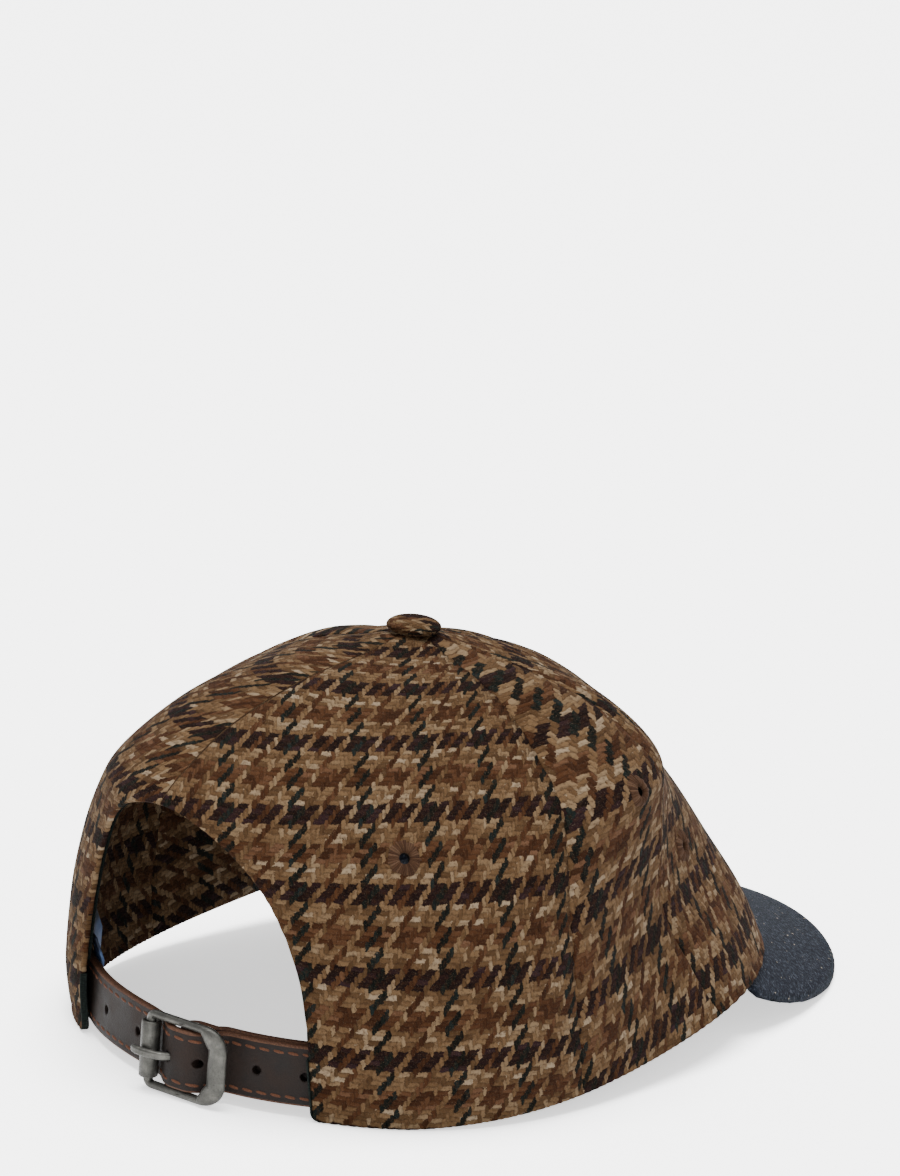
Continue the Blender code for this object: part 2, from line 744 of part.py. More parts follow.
def build_tongue(finish):
    """Strap that passes through the buckle, with its punched holes."""
    end = CORNER_PLACE + STRAP_BEHIND_PANEL
    path = [(float(p), tongue_out(p)) for p in np.linspace(-end, end, STRAP_STEPS + 1)]
    tongue = strap_band("strap_tongue", path, TONGUE_THICK, finish)
    middle = buckle_middle()
    through = 2 * TONGUE_THICK
    for i, place in enumerate(STRAP_HOLE_PLACES):
        out = tongue_out(place)
        ends = [on_strap(place, out + d, middle) for d in (-through, through)]
        name = f"cut_hole_{i + 1}"
        cut(tongue, add_object(name, rod(name, *ends, STRAP_HOLE_RADIUS)))
    ends = [on_strap(*spot, middle) for spot in prong_path()[-4:-2]]
    cut(tongue, add_object("cut_prong_hole", rod("cut_prong_hole", *ends, PRONG_RADIUS + GAP)))


def build_anchor(finish):
    """Short strap folded round the centre bar, with a slot for the prong."""
    anchor = strap_band("strap_anchor", anchor_path(), ANCHOR_THICK, finish)
    reach_out = CENTRE_BAR_RADIUS + GAP + ANCHOR_THICK + PRONG_RADIUS
    high = PRONG_RADIUS + GAP
    loops = []
    for z in (buckle_middle() - high, buckle_middle() + high):
        loop = []
        for a, b in ((-1, -1), (1, -1), (1, 1), (-1, 1)):
            place, out = CENTRE_BAR_PLACE + a * reach_out, CENTRE_BAR_OUT + b * reach_out
            loop.append(on_strap(place, out, z))
        loops.append(loop)
    cut(anchor, add_object("cut_prong_slot", closed_mesh("cut_prong_slot", loops)))


def centre_on_floor():
    """Move the whole cap so that its box is centred on the origin, front to back."""
    pieces = [obj for obj in bpy.data.objects if not obj.hide_render]
    places = [vertex.co.y for obj in pieces for vertex in obj.data.vertices]
    for obj in bpy.data.objects:
        obj.location.y -= (min(places) + max(places)) / 2


def main():
    for obj in list(bpy.data.objects):
        bpy.data.objects.remove(obj)
    tweed = material("tweed", (0.16, 0.095, 0.055), 0.95)
    thread = material("eyelet_thread", (0.07, 0.03, 0.02), 0.8)
    wool = material("peak_wool", (0.035, 0.045, 0.07), 0.95)
    tape = material("tape", (0.012, 0.016, 0.014), 0.9)
    satin = material("label_satin", (0.08, 0.14, 0.32), 0.5)
    leather = material("leather", (0.055, 0.028, 0.02), 0.55)
    metal = material("aged_nickel", (0.33, 0.32, 0.29), 0.4, 1.0)
    panels = build_panels(tweed)
    build_eyelets(panels, thread)
    build_button(tweed)
    build_peak(wool)
    build_tape(tape)
    build_label(satin)
    build_tongue(leather)
    build_anchor(leather)
    build_frame(metal)
    build_roller(metal)
    build_prong(metal)
    centre_on_floor()


main()
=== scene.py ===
"""Looks of the tweed ball cap: woven panels, wool peak, leather strap and buckle.

Metres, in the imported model's frame: +Z up, the peak towards -Y, the wearer's left towards +X.
"""
import math

import bmesh
import bpy
import numpy as np
from mathutils import Matrix, Vector


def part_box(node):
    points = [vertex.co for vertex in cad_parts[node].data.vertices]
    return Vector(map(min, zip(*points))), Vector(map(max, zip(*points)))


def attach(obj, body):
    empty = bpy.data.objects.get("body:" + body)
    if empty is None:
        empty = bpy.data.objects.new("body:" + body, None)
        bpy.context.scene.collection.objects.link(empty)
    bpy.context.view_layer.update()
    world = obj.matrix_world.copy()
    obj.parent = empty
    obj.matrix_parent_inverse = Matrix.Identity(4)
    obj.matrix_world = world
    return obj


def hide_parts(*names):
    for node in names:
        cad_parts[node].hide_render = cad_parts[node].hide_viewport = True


# The crown, with the same sizes as the CAD part
HEAD_HALF_WIDTH = 0.0790
HEAD_HALF_LENGTH = 0.0950
CROWN_HEIGHT = 0.1075
CROWN_TOP_BACK = 0.0160
FRONT_LIFT = 0.0240
FRONT_LIFT_POWER = 1.5
RIM_FLAT_SHARE = 0.14
TWEED = 0.0020
GAP = 0.0003
CROWN_PROFILE = np.array([
    # height, front, front corner, side, back corner, back
    (0.00, 1.00, 1.07, 1.00, 1.10, 1.03),
    (0.15, 0.96, 0.99, 0.96, 1.13, 1.05),
    (0.32, 0.89, 0.88, 0.90, 1.12, 1.07),
    (0.50, 0.78, 0.78, 0.87, 1.07, 1.13),
    (0.68, 0.64, 0.65, 0.87, 0.94, 1.19),
    (0.83, 0.46, 0.52, 0.67, 0.73, 0.97),
    (0.94, 0.27, 0.29, 0.37, 0.43, 0.55),
    (1.00, 0.00, 0.00, 0.00, 0.00, 0.00),
])
PROFILE_TURNS = np.radians([0, 45, 90, 135, 180])
FRONT_SEAM = (math.radians(70), math.radians(7))
BACK_SEAM = (math.radians(106), math.radians(3))
TOP_HOLE_SHARE = 0.004
OPENING_HALF_WIDTH = 0.0410
OPENING_HEIGHT = 0.0765
OPENING_SIDE_POWER = 2.0
OPENING_TOP_POWER = 2.35
SEARCH_STEPS = 50
ARC_POINTS = 41
RISE_POINTS = 200

# Panels and their sewn edges: neighbours overlap by a hair, so no light shows through a seam
PANEL_GRIDS = {"front": (90, 90), "side": (90, 60), "back": (90, 90)}
SEAM_OVERLAP = 0.0001
EDGE_ROUND = 0.0007
SEAM_DIP = 0.0005
SEAM_DIP_WIDTH = 0.0028
SEAM_DIP_FADE = 0.02
SEAM_RIDGE = 0.0012
SEAM_RIDGE_WIDTH = 0.0026
SEAM_RIDGE_SHARES = (0.52, 0.13)
CLOTH_WAVE = 0.0005
CLOTH_WAVE_SLOPES = np.array([(83, 0, 41), (0, 67, -59), (149, -97, 71)])
CLOTH_WAVE_STARTS = (1.3, 0.4, 0.0)
CLOTH_RIPPLE = 0.6
CLOTH_WAVE_FADE = 0.01
HEM_CORNER_RADIUS = 0.0025

# The woven cloth
WARP_SHARE = 0.40
TWILL_THREADS = 4
STRIPE_THREADS = 4
CHECK_THREADS = 4 * STRIPE_THREADS
WARP_PITCH = 0.0195 / CHECK_THREADS
WEFT_PITCH = 0.0215 / CHECK_THREADS

# Eyelets: turn from the front in degrees and share of the crown's height
EYELETS = {"front": (59, 0.415), "side": (89, 0.705), "back": (140, 0.640)}
EYELET_HOLE_RADIUS = 0.0014
EYELET_RADIUS = 0.0044
EYELET_HIGH = 0.0010
EYELET_RIDGE = 0.12
EYELET_RAGGED = 0.10
EYELET_RAGGED_STEP = 2.4
EYELET_TILT = 0.38
EYELET_FOOT = 0.8
EYELET_STITCHES = 36

# The button
BUTTON_RADIUS = 0.0073
BUTTON_HEIGHT = 0.0042
BUTTON_SINK = 0.0006
BUTTON_WIDEST = 0.42
BUTTON_SIDE_POWER = 0.72
BUTTON_DOME_POWER = 1.15
BUTTON_GATHERS = 9
BUTTON_GATHER = 0.012
BUTTON_CLOTH_STRETCH = 0.9
BUTTON_CLOTH_START = (9, 3)
BUTTON_SEAT = 0.0018
BUTTON_SEAT_WIDTH = 0.0120

# The peak
PEAK_CORNER_TURN = math.radians(58.5)
PEAK_LENGTH = 0.0520
PEAK_OUTLINE_POWER = 2.1
PEAK_SLOPE = 0.34
PEAK_ARCH_REACH = 0.0150
PEAK_THICK = 0.0030
PEAK_SIDE_SHARE = 0.985
PEAK_HEM = 0.0060
PEAK_HEM_THICK = 0.0008

# The tape round the opening and the label over the strap's end
TAPE_WIDTH = 0.0080
TAPE_THICK = 0.0010
TAPE_EDGE_POWER = 6
TAPE_ABOVE_STRAP = 0.0015
LABEL_WIDTH = 0.0300
LABEL_HEIGHT = 0.0200
LABEL_THICK = 0.0010
LABEL_FROM_EDGE = 0.0015
LABEL_BOTTOM = 0.0050
LABEL_LEAN = 0.40
LABEL_WAVE = 0.00015
LABEL_WAVES = (420, 160)
LABEL_DARK_TOP = 0.75
TAPE_PUCKER = 0.00012
TAPE_PUCKERS = 520
BINDING_TALL = 0.0170
BINDING_THICK = 0.0004
BINDING_CORNER_SHARE = 0.8
BINDING_MARGIN = 0.02

# The strap and the buckle, along the strap's base line
STRAP_WIDTH = 0.0160
STRAP_BOTTOM = 0.0027
STRAP_MIDDLE = STRAP_BOTTOM + STRAP_WIDTH / 2
STRAP_BULGE = 0.0018
TONGUE_THICK = 0.0024
ANCHOR_THICK = 0.0022
TONGUE_OUT = 0.0010
STRAP_BEHIND_PANEL = 0.0140
BASE_LINE_REACH = 2.5
STRAP_HOLE_RADIUS = 0.0012
STRAP_HOLE_PLACES = (-0.0385, -0.0262, -0.0132, 0.0118, 0.0288)
ROLLER_PLACE = 0.0015
CENTRE_BAR_PLACE = -0.0085
END_BAR_PLACE = -0.0185
BUCKLE_OUT = 0.0076
CENTRE_BAR_OUT = 0.0026
CENTRE_BAR_RADIUS = 0.0012
ROLLER_RADIUS = 0.0025
ROLLER_WALL = 0.0007
ROLLER_BAR_RADIUS = 0.0012
END_BAR_HALF_WIDTH = 0.0024
SIDE_BAR_HALF_WIDTH = 0.0011
FRAME_HALF_DEPTH = 0.0015
FRAME_CORNER_RADIUS = 0.0045
FRAME_CORNER_FILL = 0.0006
FRAME_HALF_TALL = STRAP_WIDTH / 2 + GAP + SIDE_BAR_HALF_WIDTH
PRONG_RADIUS = 0.0011
PRONG_LOOP_SHARE = 0.7
PRONG_TIP_PAST_ROLLER = 0.0028
PRONG_GROOVE = 0.25
PRONG_GROOVE_WIDTH = 0.4
PRONG_TIP_SHARE = 0.9
PRONG_TIP_ROUNDING = np.array([0.2, 0.45, 0.75, 0.97])
BASE_STEPS = 160
STITCH_FROM_EDGE = 0.0022
STITCH_LENGTH = 0.0029
STITCH_SPACING = 0.0037
STITCH_RADIUS = 0.0003
STITCH_ARCH = 0.9
STITCH_TAPER = 0.45
STITCH_SINK = 1.1
STITCH_TILT = 0.5
STITCH_SPREAD = 1.4
BAND_CORNER = 0.35
BAND_CORNER_POINTS = 5
BAND_FACE_POINTS = 15

# The studio
FLOOR_HALF_SIZE = 3.0
FLOOR_DROP = 0.0002
FLOOR_GLOW = 1.1
WORLD_STRENGTH = 1.2
KEY_PLACE = (0.05, 0.0, 1.5)
KEY_STRENGTH = 11.0
KEY_SOFTNESS = math.radians(40)
FILL_PLACE = (-1.0, 1.6, 0.45)
FILL_SIZE = 0.9
FILL_POWER = 20

# The camera
CAMERA_PLACE = (-0.72513, 0.89478, 0.39231)
CAMERA_RIGHT = (-0.75483, -0.65121, 0.07844)
CAMERA_UP = (0.21178, -0.12879, 0.96879)
CAMERA_LENS = 135.01
CAMERA_SENSOR = 36


# Crown shape

def smooth(stops, values, at):
    """Monotone cubic curve through values at increasing stops, read at many places."""
    at = np.clip(at, stops[0], stops[-1])
    step = np.diff(stops)
    rise = np.diff(values) / step
    slope = np.concatenate([rise[:1], np.zeros(len(rise) - 1), rise[-1:]])
    for i in range(1, len(rise)):
        if rise[i - 1] * rise[i] > 0:
            near, far = 2 * step[i] + step[i - 1], step[i] + 2 * step[i - 1]
            slope[i] = (near + far) / (near / rise[i - 1] + far / rise[i])
    i = np.clip(np.searchsorted(stops, at, side="right") - 1, 0, len(step) - 1)
    s = (at - stops[i]) / step[i]
    rest = 1 - s
    return (
        values[i] * (1 + 2 * s) * rest**2
        + slope[i] * step[i] * s * rest**2
        + values[i + 1] * (3 - 2 * s) * s**2
        - slope[i + 1] * step[i] * s**2 * rest
    )


WAVE_SHARES = np.linalg.inv(np.cos(np.outer(PROFILE_TURNS, np.arange(len(PROFILE_TURNS)))))


def reach(turn, share):
    """The crown's reach at a turn and a height share, as a share of the head's half sizes."""
    heights = CROWN_PROFILE[:, 0]
    columns = np.array([smooth(heights, CROWN_PROFILE[:, i], share) for i in range(1, 6)])
    waves = np.tensordot(WAVE_SHARES, columns, 1)
    return sum(wave * np.cos(k * turn) for k, wave in enumerate(waves))


def rim_height(turn):
    """Height of the rim: flat at the back, rising towards the peak."""
    front_share = (1 + np.cos(turn)) / 2
    flat = RIM_FLAT_SHARE**FRONT_LIFT_POWER
    return FRONT_LIFT * np.maximum(0, front_share**FRONT_LIFT_POWER - flat) / (1 - flat)


def crown_point(turn, share):
    """Points on the crown's outer face, before the shift that centres the part."""
    turn, share = np.broadcast_arrays(np.asarray(turn, float), np.asarray(share, float))
    r = reach(turn, share)
    rim = rim_height(turn)
    return np.stack([
        -r * HEAD_HALF_WIDTH * np.sin(turn),
        CROWN_TOP_BACK - r * (HEAD_HALF_LENGTH * np.cos(turn) + CROWN_TOP_BACK),
        rim + share * (CROWN_HEIGHT - rim),
    ], axis=-1)


def run_along(points):
    """Length along a line of points, from 0 at its first."""
    return np.concatenate([[0], np.cumsum(np.linalg.norm(np.diff(points, axis=0), axis=1))])


def unit(vectors):
    return vectors / np.maximum(np.linalg.norm(vectors, axis=-1, keepdims=True), 1e-12)


def crown_normal(turn, share):
    """Outward normals of the crown, kept level at the rim."""
    step = 1e-3
    low, high = np.maximum(share - step, 0), np.minimum(share + step, 1 - TOP_HOLE_SHARE / 2)
    along = crown_point(turn + step, share) - crown_point(turn - step, share)
    up = crown_point(turn, high) - crown_point(turn, low)
    kept = np.where(np.asarray(share)[..., None] <= 0, (1, 1, 0), 1)
    return unit(unit(np.cross(up, along)) * kept)


def to_chart(turn, share):
    """Flat chart of the crown with its top in the middle, where panels are laid out."""
    radius = 1 - np.arcsin(np.minimum(share, 1)) * 2 / math.pi
    return np.stack([radius * np.sin(turn), radius * np.cos(turn)], axis=-1)


def from_chart(place):
    radius = np.hypot(place[..., 0], place[..., 1])
    return np.arctan2(place[..., 0], place[..., 1]), np.round(np.sin((1 - radius) * math.pi / 2), 9)


def axis_distance(points):
    """Level distance from the upright line through the button."""
    return np.hypot(points[..., 0], points[..., 1] - CROWN_TOP_BACK)


def seam_turn(seam, share):
    base, bow = seam
    return base + bow * 4 * share * (1 - share)


def shifted(turn, share, side):
    """A seam's turn as one panel reaches it, side 1 for the panel after it and -1 for the one before."""
    return turn - side * SEAM_OVERLAP / axis_distance(crown_point(turn, share))


def opening_place(u, grow=0.0):
    """Turn and height share on the arch of the back opening, u from 0 at the rim to 1 at its top."""
    angle = np.asarray(u, float) * math.pi / 2
    x = -(OPENING_HALF_WIDTH + grow) * np.cos(angle) ** (2 / OPENING_SIDE_POWER)
    z = (OPENING_HEIGHT + grow) * np.sin(angle) ** (2 / OPENING_TOP_POWER)
    low, high = np.full_like(x, math.pi / 2), np.full_like(x, math.pi)
    for _ in range(SEARCH_STEPS):
        turn = (low + high) / 2
        rim = rim_height(turn)
        share = np.maximum(0, (z - rim) / (CROWN_HEIGHT - rim))
        before = crown_point(turn, share)[..., 0] < x
        low, high = np.where(before, turn, low), np.where(before, high, turn)
    return turn, share


# Meshes

def face_outward(mesh):
    tidy = bmesh.new()
    tidy.from_mesh(mesh)
    bmesh.ops.recalc_face_normals(tidy, faces=tidy.faces)
    tidy.to_mesh(mesh)
    tidy.free()


def linked_object(name, points, faces):
    """Mesh object in the scene, without a material."""
    mesh = bpy.data.meshes.new(name)
    mesh.from_pydata([tuple(p) for p in points], [], [tuple(int(i) for i in f) for f in faces])
    obj = bpy.data.objects.new(name, mesh)
    bpy.context.scene.collection.objects.link(obj)
    return obj


def new_object(name, points, faces, finish, uv=None):
    """Mesh object that rides on the body, smooth shaded, with cloth coordinates where given."""
    obj = linked_object(name, points, faces)
    mesh = obj.data
    mesh.materials.append(finish)
    if uv is not None:
        layer = mesh.uv_layers.new(name="cloth")
        corners = np.array([loop.vertex_index for loop in mesh.loops])
        layer.data.foreach_set("uv", np.asarray(uv, float)[corners].ravel())
    mesh.validate()
    face_outward(mesh)
    mesh.shade_smooth()
    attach(obj, "root")
    return obj


def grid_faces(tall, wide, start=0, wrap=False):
    """Four-sided faces over a grid of points, wrapped round for a tube."""
    faces = []
    for i in range(tall - 1):
        for j in range(wide if wrap else wide - 1):
            k = (j + 1) % wide
            a, b = start + i * wide, start + (i + 1) * wide
            faces.append((a + j, a + k, b + k, b + j))
    return faces


def wall(outer, inner):
    """Points and faces of a closed wall between two equal grids, joined round their border."""
    tall, wide = outer.shape[:2]
    count = tall * wide
    faces = grid_faces(tall, wide) + grid_faces(tall, wide, count)
    ring = [(0, j) for j in range(wide)] + [(i, wide - 1) for i in range(1, tall)]
    ring += [(tall - 1, j) for j in range(wide - 2, -1, -1)] + [(i, 0) for i in range(tall - 2, 0, -1)]
    ids = [i * wide + j for i, j in ring]
    for a, b in zip(ids, ids[1:] + ids[:1]):
        faces.append((a, b, b + count, a + count))
    return np.concatenate([outer.reshape(-1, 3), inner.reshape(-1, 3)]), faces


def skin(loops, closed_path=False):
    """Points and faces over equal loops of points, with capped ends."""
    loops = np.array(loops)
    count, size = loops.shape[:2]
    faces = grid_faces(count, size, wrap=True)
    if closed_path:
        last = (count - 1) * size
        faces += [(last + j, last + (j + 1) % size, (j + 1) % size, j) for j in range(size)]
    else:
        faces += [tuple(range(size))[::-1], tuple(range((count - 1) * size, count * size))]
    return loops.reshape(-1, 3), faces


def cut(target, points, faces):
    """Subtract a closed shape from a piece and apply the cut."""
    cutter = linked_object("cutter", points, faces)
    face_outward(cutter.data)
    modifier = target.modifiers.new("cut", "BOOLEAN")
    modifier.operation = "DIFFERENCE"
    modifier.solver = "MANIFOLD"
    modifier.object = cutter
    result = target.evaluated_get(bpy.context.evaluated_depsgraph_get())
    new_mesh = bpy.data.meshes.new_from_object(result)
    target.modifiers.clear()
    target.data = new_mesh
    bpy.data.objects.remove(cutter)


def rod(start, end, radius, sides=16):
    """Points and faces of a straight rod."""
    start, end = Vector(start), Vector(end)
    along = (end - start).normalized()
    across = along.orthogonal().normalized()
    other = along.cross(across)
    turns = [2 * math.pi * i / sides for i in range(sides)]
    ring = [radius * (math.cos(t) * across + math.sin(t) * other) for t in turns]
    return skin([[tuple(place + p) for p in ring] for place in (start, end)])


# Node graphs

class Graph:
    """Short names for building a material's nodes."""

    def __init__(self, name):
        self.material = bpy.data.materials.new(name)
        self.material.use_nodes = True
        self.tree = self.material.node_tree
        self.shader = self.tree.nodes["Principled BSDF"]

    def node(self, kind, **settings):
        made = self.tree.nodes.new(kind)
        for key, value in settings.items():
            setattr(made, key, value)
        return made

    def put(self, socket, value):
        if isinstance(value, bpy.types.NodeSocket):
            self.tree.links.new(value, socket)
        elif value is not None:
            socket.default_value = value

    def feed(self, made, *values):
        for socket, value in zip(made.inputs, values):
            self.put(socket, value)
        return made.outputs[0]

    def fill(self, made, **values):
        for name, value in values.items():
            self.put(made.inputs[name.replace("_", " ")], value)
        return made.outputs[0]

    def math(self, operation, *values):
        return self.feed(self.node("ShaderNodeMath", operation=operation), *values)

    def plus(self, first, second):
        return self.math("ADD", first, second)

    def minus(self, first, second):
        return self.math("SUBTRACT", first, second)

    def times(self, first, second):
        return self.math("MULTIPLY", first, second)

    def split(self, vector):
        made = self.node("ShaderNodeSeparateXYZ")
        self.put(made.inputs[0], vector)
        return made.outputs

    def cloth(self):
        return self.split(self.node("ShaderNodeUVMap", uv_map="cloth").outputs[0])

    def join(self, x, y, z=0.0):
        return self.feed(self.node("ShaderNodeCombineXYZ"), x, y, z)

    def noise(self, vector, scale, detail=2.0, roughness=0.5):
        made = self.node("ShaderNodeTexNoise")
        return self.fill(made, Vector=vector, Scale=scale, Detail=detail, Roughness=roughness)

    def random(self, vector):
        return self.fill(self.node("ShaderNodeTexWhiteNoise", noise_dimensions="3D"), Vector=vector)

    def mix(self, share, first, second, blend="MIX"):
        made = self.node("ShaderNodeMix", data_type="RGBA", blend_type=blend)
        self.put(made.inputs[0], share)
        self.put(made.inputs[6], first)
        self.put(made.inputs[7], second)
        return made.outputs[2]

    def mix_number(self, share, first, second):
        made = self.node("ShaderNodeMix", data_type="FLOAT")
        self.put(made.inputs[0], share)
        self.put(made.inputs[2], first)
        self.put(made.inputs[3], second)
        return made.outputs[0]

    def ramp(self, value, stops, interpolation="LINEAR"):
        made = self.node("ShaderNodeValToRGB")
        made.color_ramp.interpolation = interpolation
        elements = made.color_ramp.elements
        while len(elements) < len(stops):
            elements.new(0.5)
        for element, (place, colour) in zip(elements, stops):
            element.position = place
            element.color = (*colour, 1)
        self.put(made.inputs[0], value)
        return made.outputs[0]

    def spread(self, value, low, high, to_low=0.0, to_high=1.0):
        made = self.node("ShaderNodeMapRange", interpolation_type="SMOOTHSTEP")
        return self.feed(made, value, low, high, to_low, to_high)

    def position(self):
        return self.node("ShaderNodeTexCoord").outputs["Object"]

    def stretch(self, vector, scale):
        return self.fill(self.node("ShaderNodeMapping"), Vector=vector, Scale=scale)

    def bump(self, height, distance, strength):
        return self.fill(self.node("ShaderNodeBump"), Height=height, Distance=distance, Strength=strength)

    def finish(self, colour, roughness, normal=None, **more):
        self.fill(self.shader, Base_Color=colour, Roughness=roughness, Normal=normal, **more)
        return self.material


# Materials

def tweed_material():
    """Check in a two-and-two twill: dark, tan, brown and tan stripes of four threads each way."""
    g = Graph("tweed_weave")
    u, v = g.cloth()[:2]
    flat = g.join(u, v)
    for scale, reach_out in ((0.55, 1.1), (2.6, 0.7)):
        wobble_u = g.math("MULTIPLY_ADD", g.noise(flat, scale, 3), reach_out, -reach_out / 2)
        wobble_v = g.math("MULTIPLY_ADD", g.noise(g.join(v, u, 7.0), scale, 3), reach_out, -reach_out / 2)
        u, v = g.plus(u, wobble_u), g.plus(v, wobble_v)
    i, j = g.math("FLOOR", u), g.math("FLOOR", v)
    across, up = g.math("FRACT", u), g.math("FRACT", v)
    step = g.math("FLOORED_MODULO", g.minus(i, j), TWILL_THREADS)
    slant = g.plus(g.minus(u, v), 0.5)
    jagged = g.plus(g.times(slant, 0.7), g.times(g.minus(i, j), 0.3))
    twill = g.math("FLOORED_MODULO", jagged, TWILL_THREADS)
    warp_on_top = g.math("LESS_THAN", twill, WARP_SHARE * TWILL_THREADS)
    warp_along = g.times(g.plus(g.minus(1.0, step), up), 0.5)
    weft_along = g.times(g.plus(g.minus(step, 2.0), across), 0.5)

    warp_float = g.join(i, g.minus(j, g.minus(1.0, step)), 0.0)
    weft_float = g.join(g.minus(i, g.minus(step, 2.0)), j, 5.0)
    warp_tint, weft_tint = g.random(warp_float), g.random(weft_float)

    dark_green, maroon = (0.0015, 0.0027, 0.0022), (0.0044, 0.0016, 0.0015)
    brown, tan = (0.0242, 0.0097, 0.0039), (0.0580, 0.0348, 0.0174)

    def stripes(thread, dark):
        place = g.math("DIVIDE", g.math("FLOORED_MODULO", thread, CHECK_THREADS), CHECK_THREADS)
        return g.ramp(place, [(0.0, dark), (0.24, tan), (0.49, brown), (0.74, tan)], "CONSTANT")

    tint = g.mix_number(warp_on_top, weft_tint, g.times(warp_tint, 0.9))
    yarn = g.mix(warp_on_top, stripes(j, maroon), stripes(i, dark_green))
    # Random tint for each float. The ramp's top stops are painted highlight glints, which the lower warp tint
    # keeps mostly on weft floats.
    shade = g.ramp(tint, [
        (0.0, (0.46, 0.40, 0.34)), (0.35, (0.80, 0.74, 0.68)), (0.65, (1.10, 1.10, 1.08)),
        (0.85, (1.50, 1.68, 1.90)), (1.0, (2.1, 2.6, 3.4))])
    colour = g.mix(1.0, yarn, shade, "MULTIPLY")

    fibres = g.noise(g.join(g.times(u, 3.0), g.times(v, 3.0)), 1.6, 5, 0.7)
    colour = g.mix(g.spread(fibres, 0.54, 0.72, 0.0, 0.45), colour, (0.1209, 0.0919, 0.0629, 1))
    dusk = g.noise(flat, 1.3, 3, 0.6)
    colour = g.mix(g.spread(dusk, 0.44, 0.70, 0.0, 0.50), colour, (0.0154, 0.0066, 0.0029, 1))

    def hump(share):
        return g.math("SINE", g.times(share, math.pi))

    def yarn_height(side, along):
        return g.times(hump(side), g.math("MULTIPLY_ADD", hump(along), 0.5, 0.5))

    high = g.mix_number(warp_on_top, yarn_height(up, weft_along), yarn_height(across, warp_along))
    high = g.plus(high, g.times(fibres, 0.9))
    # Painted shade: the colour darkens where the yarn lies low between threads and in low fibre spots.
    groove = g.spread(high, 0.35, 0.95, 0.62, 1.0)
    groove_shade = g.join(groove, groove, groove)
    colour = g.mix(1.0, colour, groove_shade, "MULTIPLY")
    normal = g.bump(high, 0.0004, 0.8)
    return g.finish(colour, 0.95, normal, Specular_IOR_Level=0.03)


def wool_material():
    """Blue-charcoal wool melange with pale flecks."""
    g = Graph("peak_melange")
    place = g.position()
    fibre = g.noise(g.stretch(place, (1.0, 1.6, 1.0)), 900, 5, 0.80)
    cloud = g.noise(place, 420, 3, 0.6)
    colour = g.ramp(fibre, [
        (0.34, (0.0010, 0.0014, 0.0024)), (0.47, (0.0035, 0.0046, 0.0072)),
        (0.56, (0.0101, 0.0124, 0.0178)), (0.68, (0.0510, 0.0577, 0.0711))])
    colour = g.mix(g.spread(cloud, 0.35, 0.7, 0.0, 0.30), colour, (0.0034, 0.0044, 0.0065, 1))
    fleck = g.spread(g.noise(g.stretch(place, (1.0, 0.6, 1.0)), 640, 3, 0.55), 0.68, 0.73)
    colour = g.mix(fleck, colour, (0.1610, 0.1395, 0.1006, 1))
    normal = g.bump(fibre, 0.0006, 0.7)
    return g.finish(colour, 0.95, normal, Specular_IOR_Level=0.05)


def thread_material(colour, shade):
    """Sewing thread with a fine twist."""
    g = Graph("strap_stitches")
    place = g.position()
    twist = g.noise(place, 5200, 3, 0.6)
    tint = g.mix(g.spread(twist, 0.35, 0.65), (*shade, 1), (*colour, 1))
    return g.finish(tint, 0.75, g.bump(twist, 0.0001, 0.6), Specular_IOR_Level=0.10)


def eyelet_material():
    """Brown embroidery: one tint for each stitch, with painted shade between stitches."""
    g = Graph("eyelet_stitches")
    along = g.cloth()[0]
    stitch = g.math("FLOOR", along)
    ridge = g.math("SINE", g.times(g.math("FRACT", along), math.pi))
    fuzz = g.noise(g.position(), 3600, 4, 0.7)
    tint = g.ramp(g.random(g.join(stitch, 1.0)), [
        (0.0, (0.0179, 0.0078, 0.0039)), (0.5, (0.0306, 0.0146, 0.0071)), (1.0, (0.0476, 0.0263, 0.0149))])
    # Painted shade: the colour darkens towards the low ground between stitch ridges.
    colour = g.mix(g.spread(ridge, 0.1, 0.7, 0.40, 0.0), tint, (0.0089, 0.0040, 0.0022, 1))
    colour = g.mix(g.spread(fuzz, 0.40, 0.70, 0.0, 0.5), colour, (0.0179, 0.0089, 0.0048, 1))
    height = g.plus(ridge, fuzz)
    return g.finish(colour, 0.85, g.bump(height, 0.0003, 0.8), Specular_IOR_Level=0.05)


def tape_material():
    """Dark ribbed tape."""
    g = Graph("tape_weave")
    ribs = g.noise(g.stretch(g.position(), (1.0, 1.0, 4.0)), 900, 2)
    colour = g.mix(g.spread(ribs, 0.35, 0.7), (0.0022, 0.0032, 0.0029, 1), (0.0065, 0.0094, 0.0079, 1))
    return g.finish(colour, 0.85, g.bump(ribs, 0.0002, 0.5), Specular_IOR_Level=0.05)


def satin_material():
    """Plain woven satin with fine lengthwise threads."""
    g = Graph("label_satin_weave")
    place = g.position()
    threads = g.noise(g.stretch(place, (1.0, 1.0, 14.0)), 900, 2)
    colour = g.mix(g.spread(threads, 0.3, 0.7), (0.0456, 0.0760, 0.1568, 1), (0.0665, 0.1064, 0.2042, 1))
    # Darker navy over the top of the label, from three quarters of its height up.
    dark_top_at = [LABEL_BOTTOM + share * LABEL_HEIGHT for share in (LABEL_DARK_TOP, LABEL_DARK_TOP + 0.1)]
    fold = g.spread(g.split(place)[2], *dark_top_at)
    colour = g.mix(fold, colour, (0.0104, 0.0142, 0.0256, 1))
    return g.finish(colour, 0.70, g.bump(threads, 0.0001, 0.4), Specular_IOR_Level=0.15)


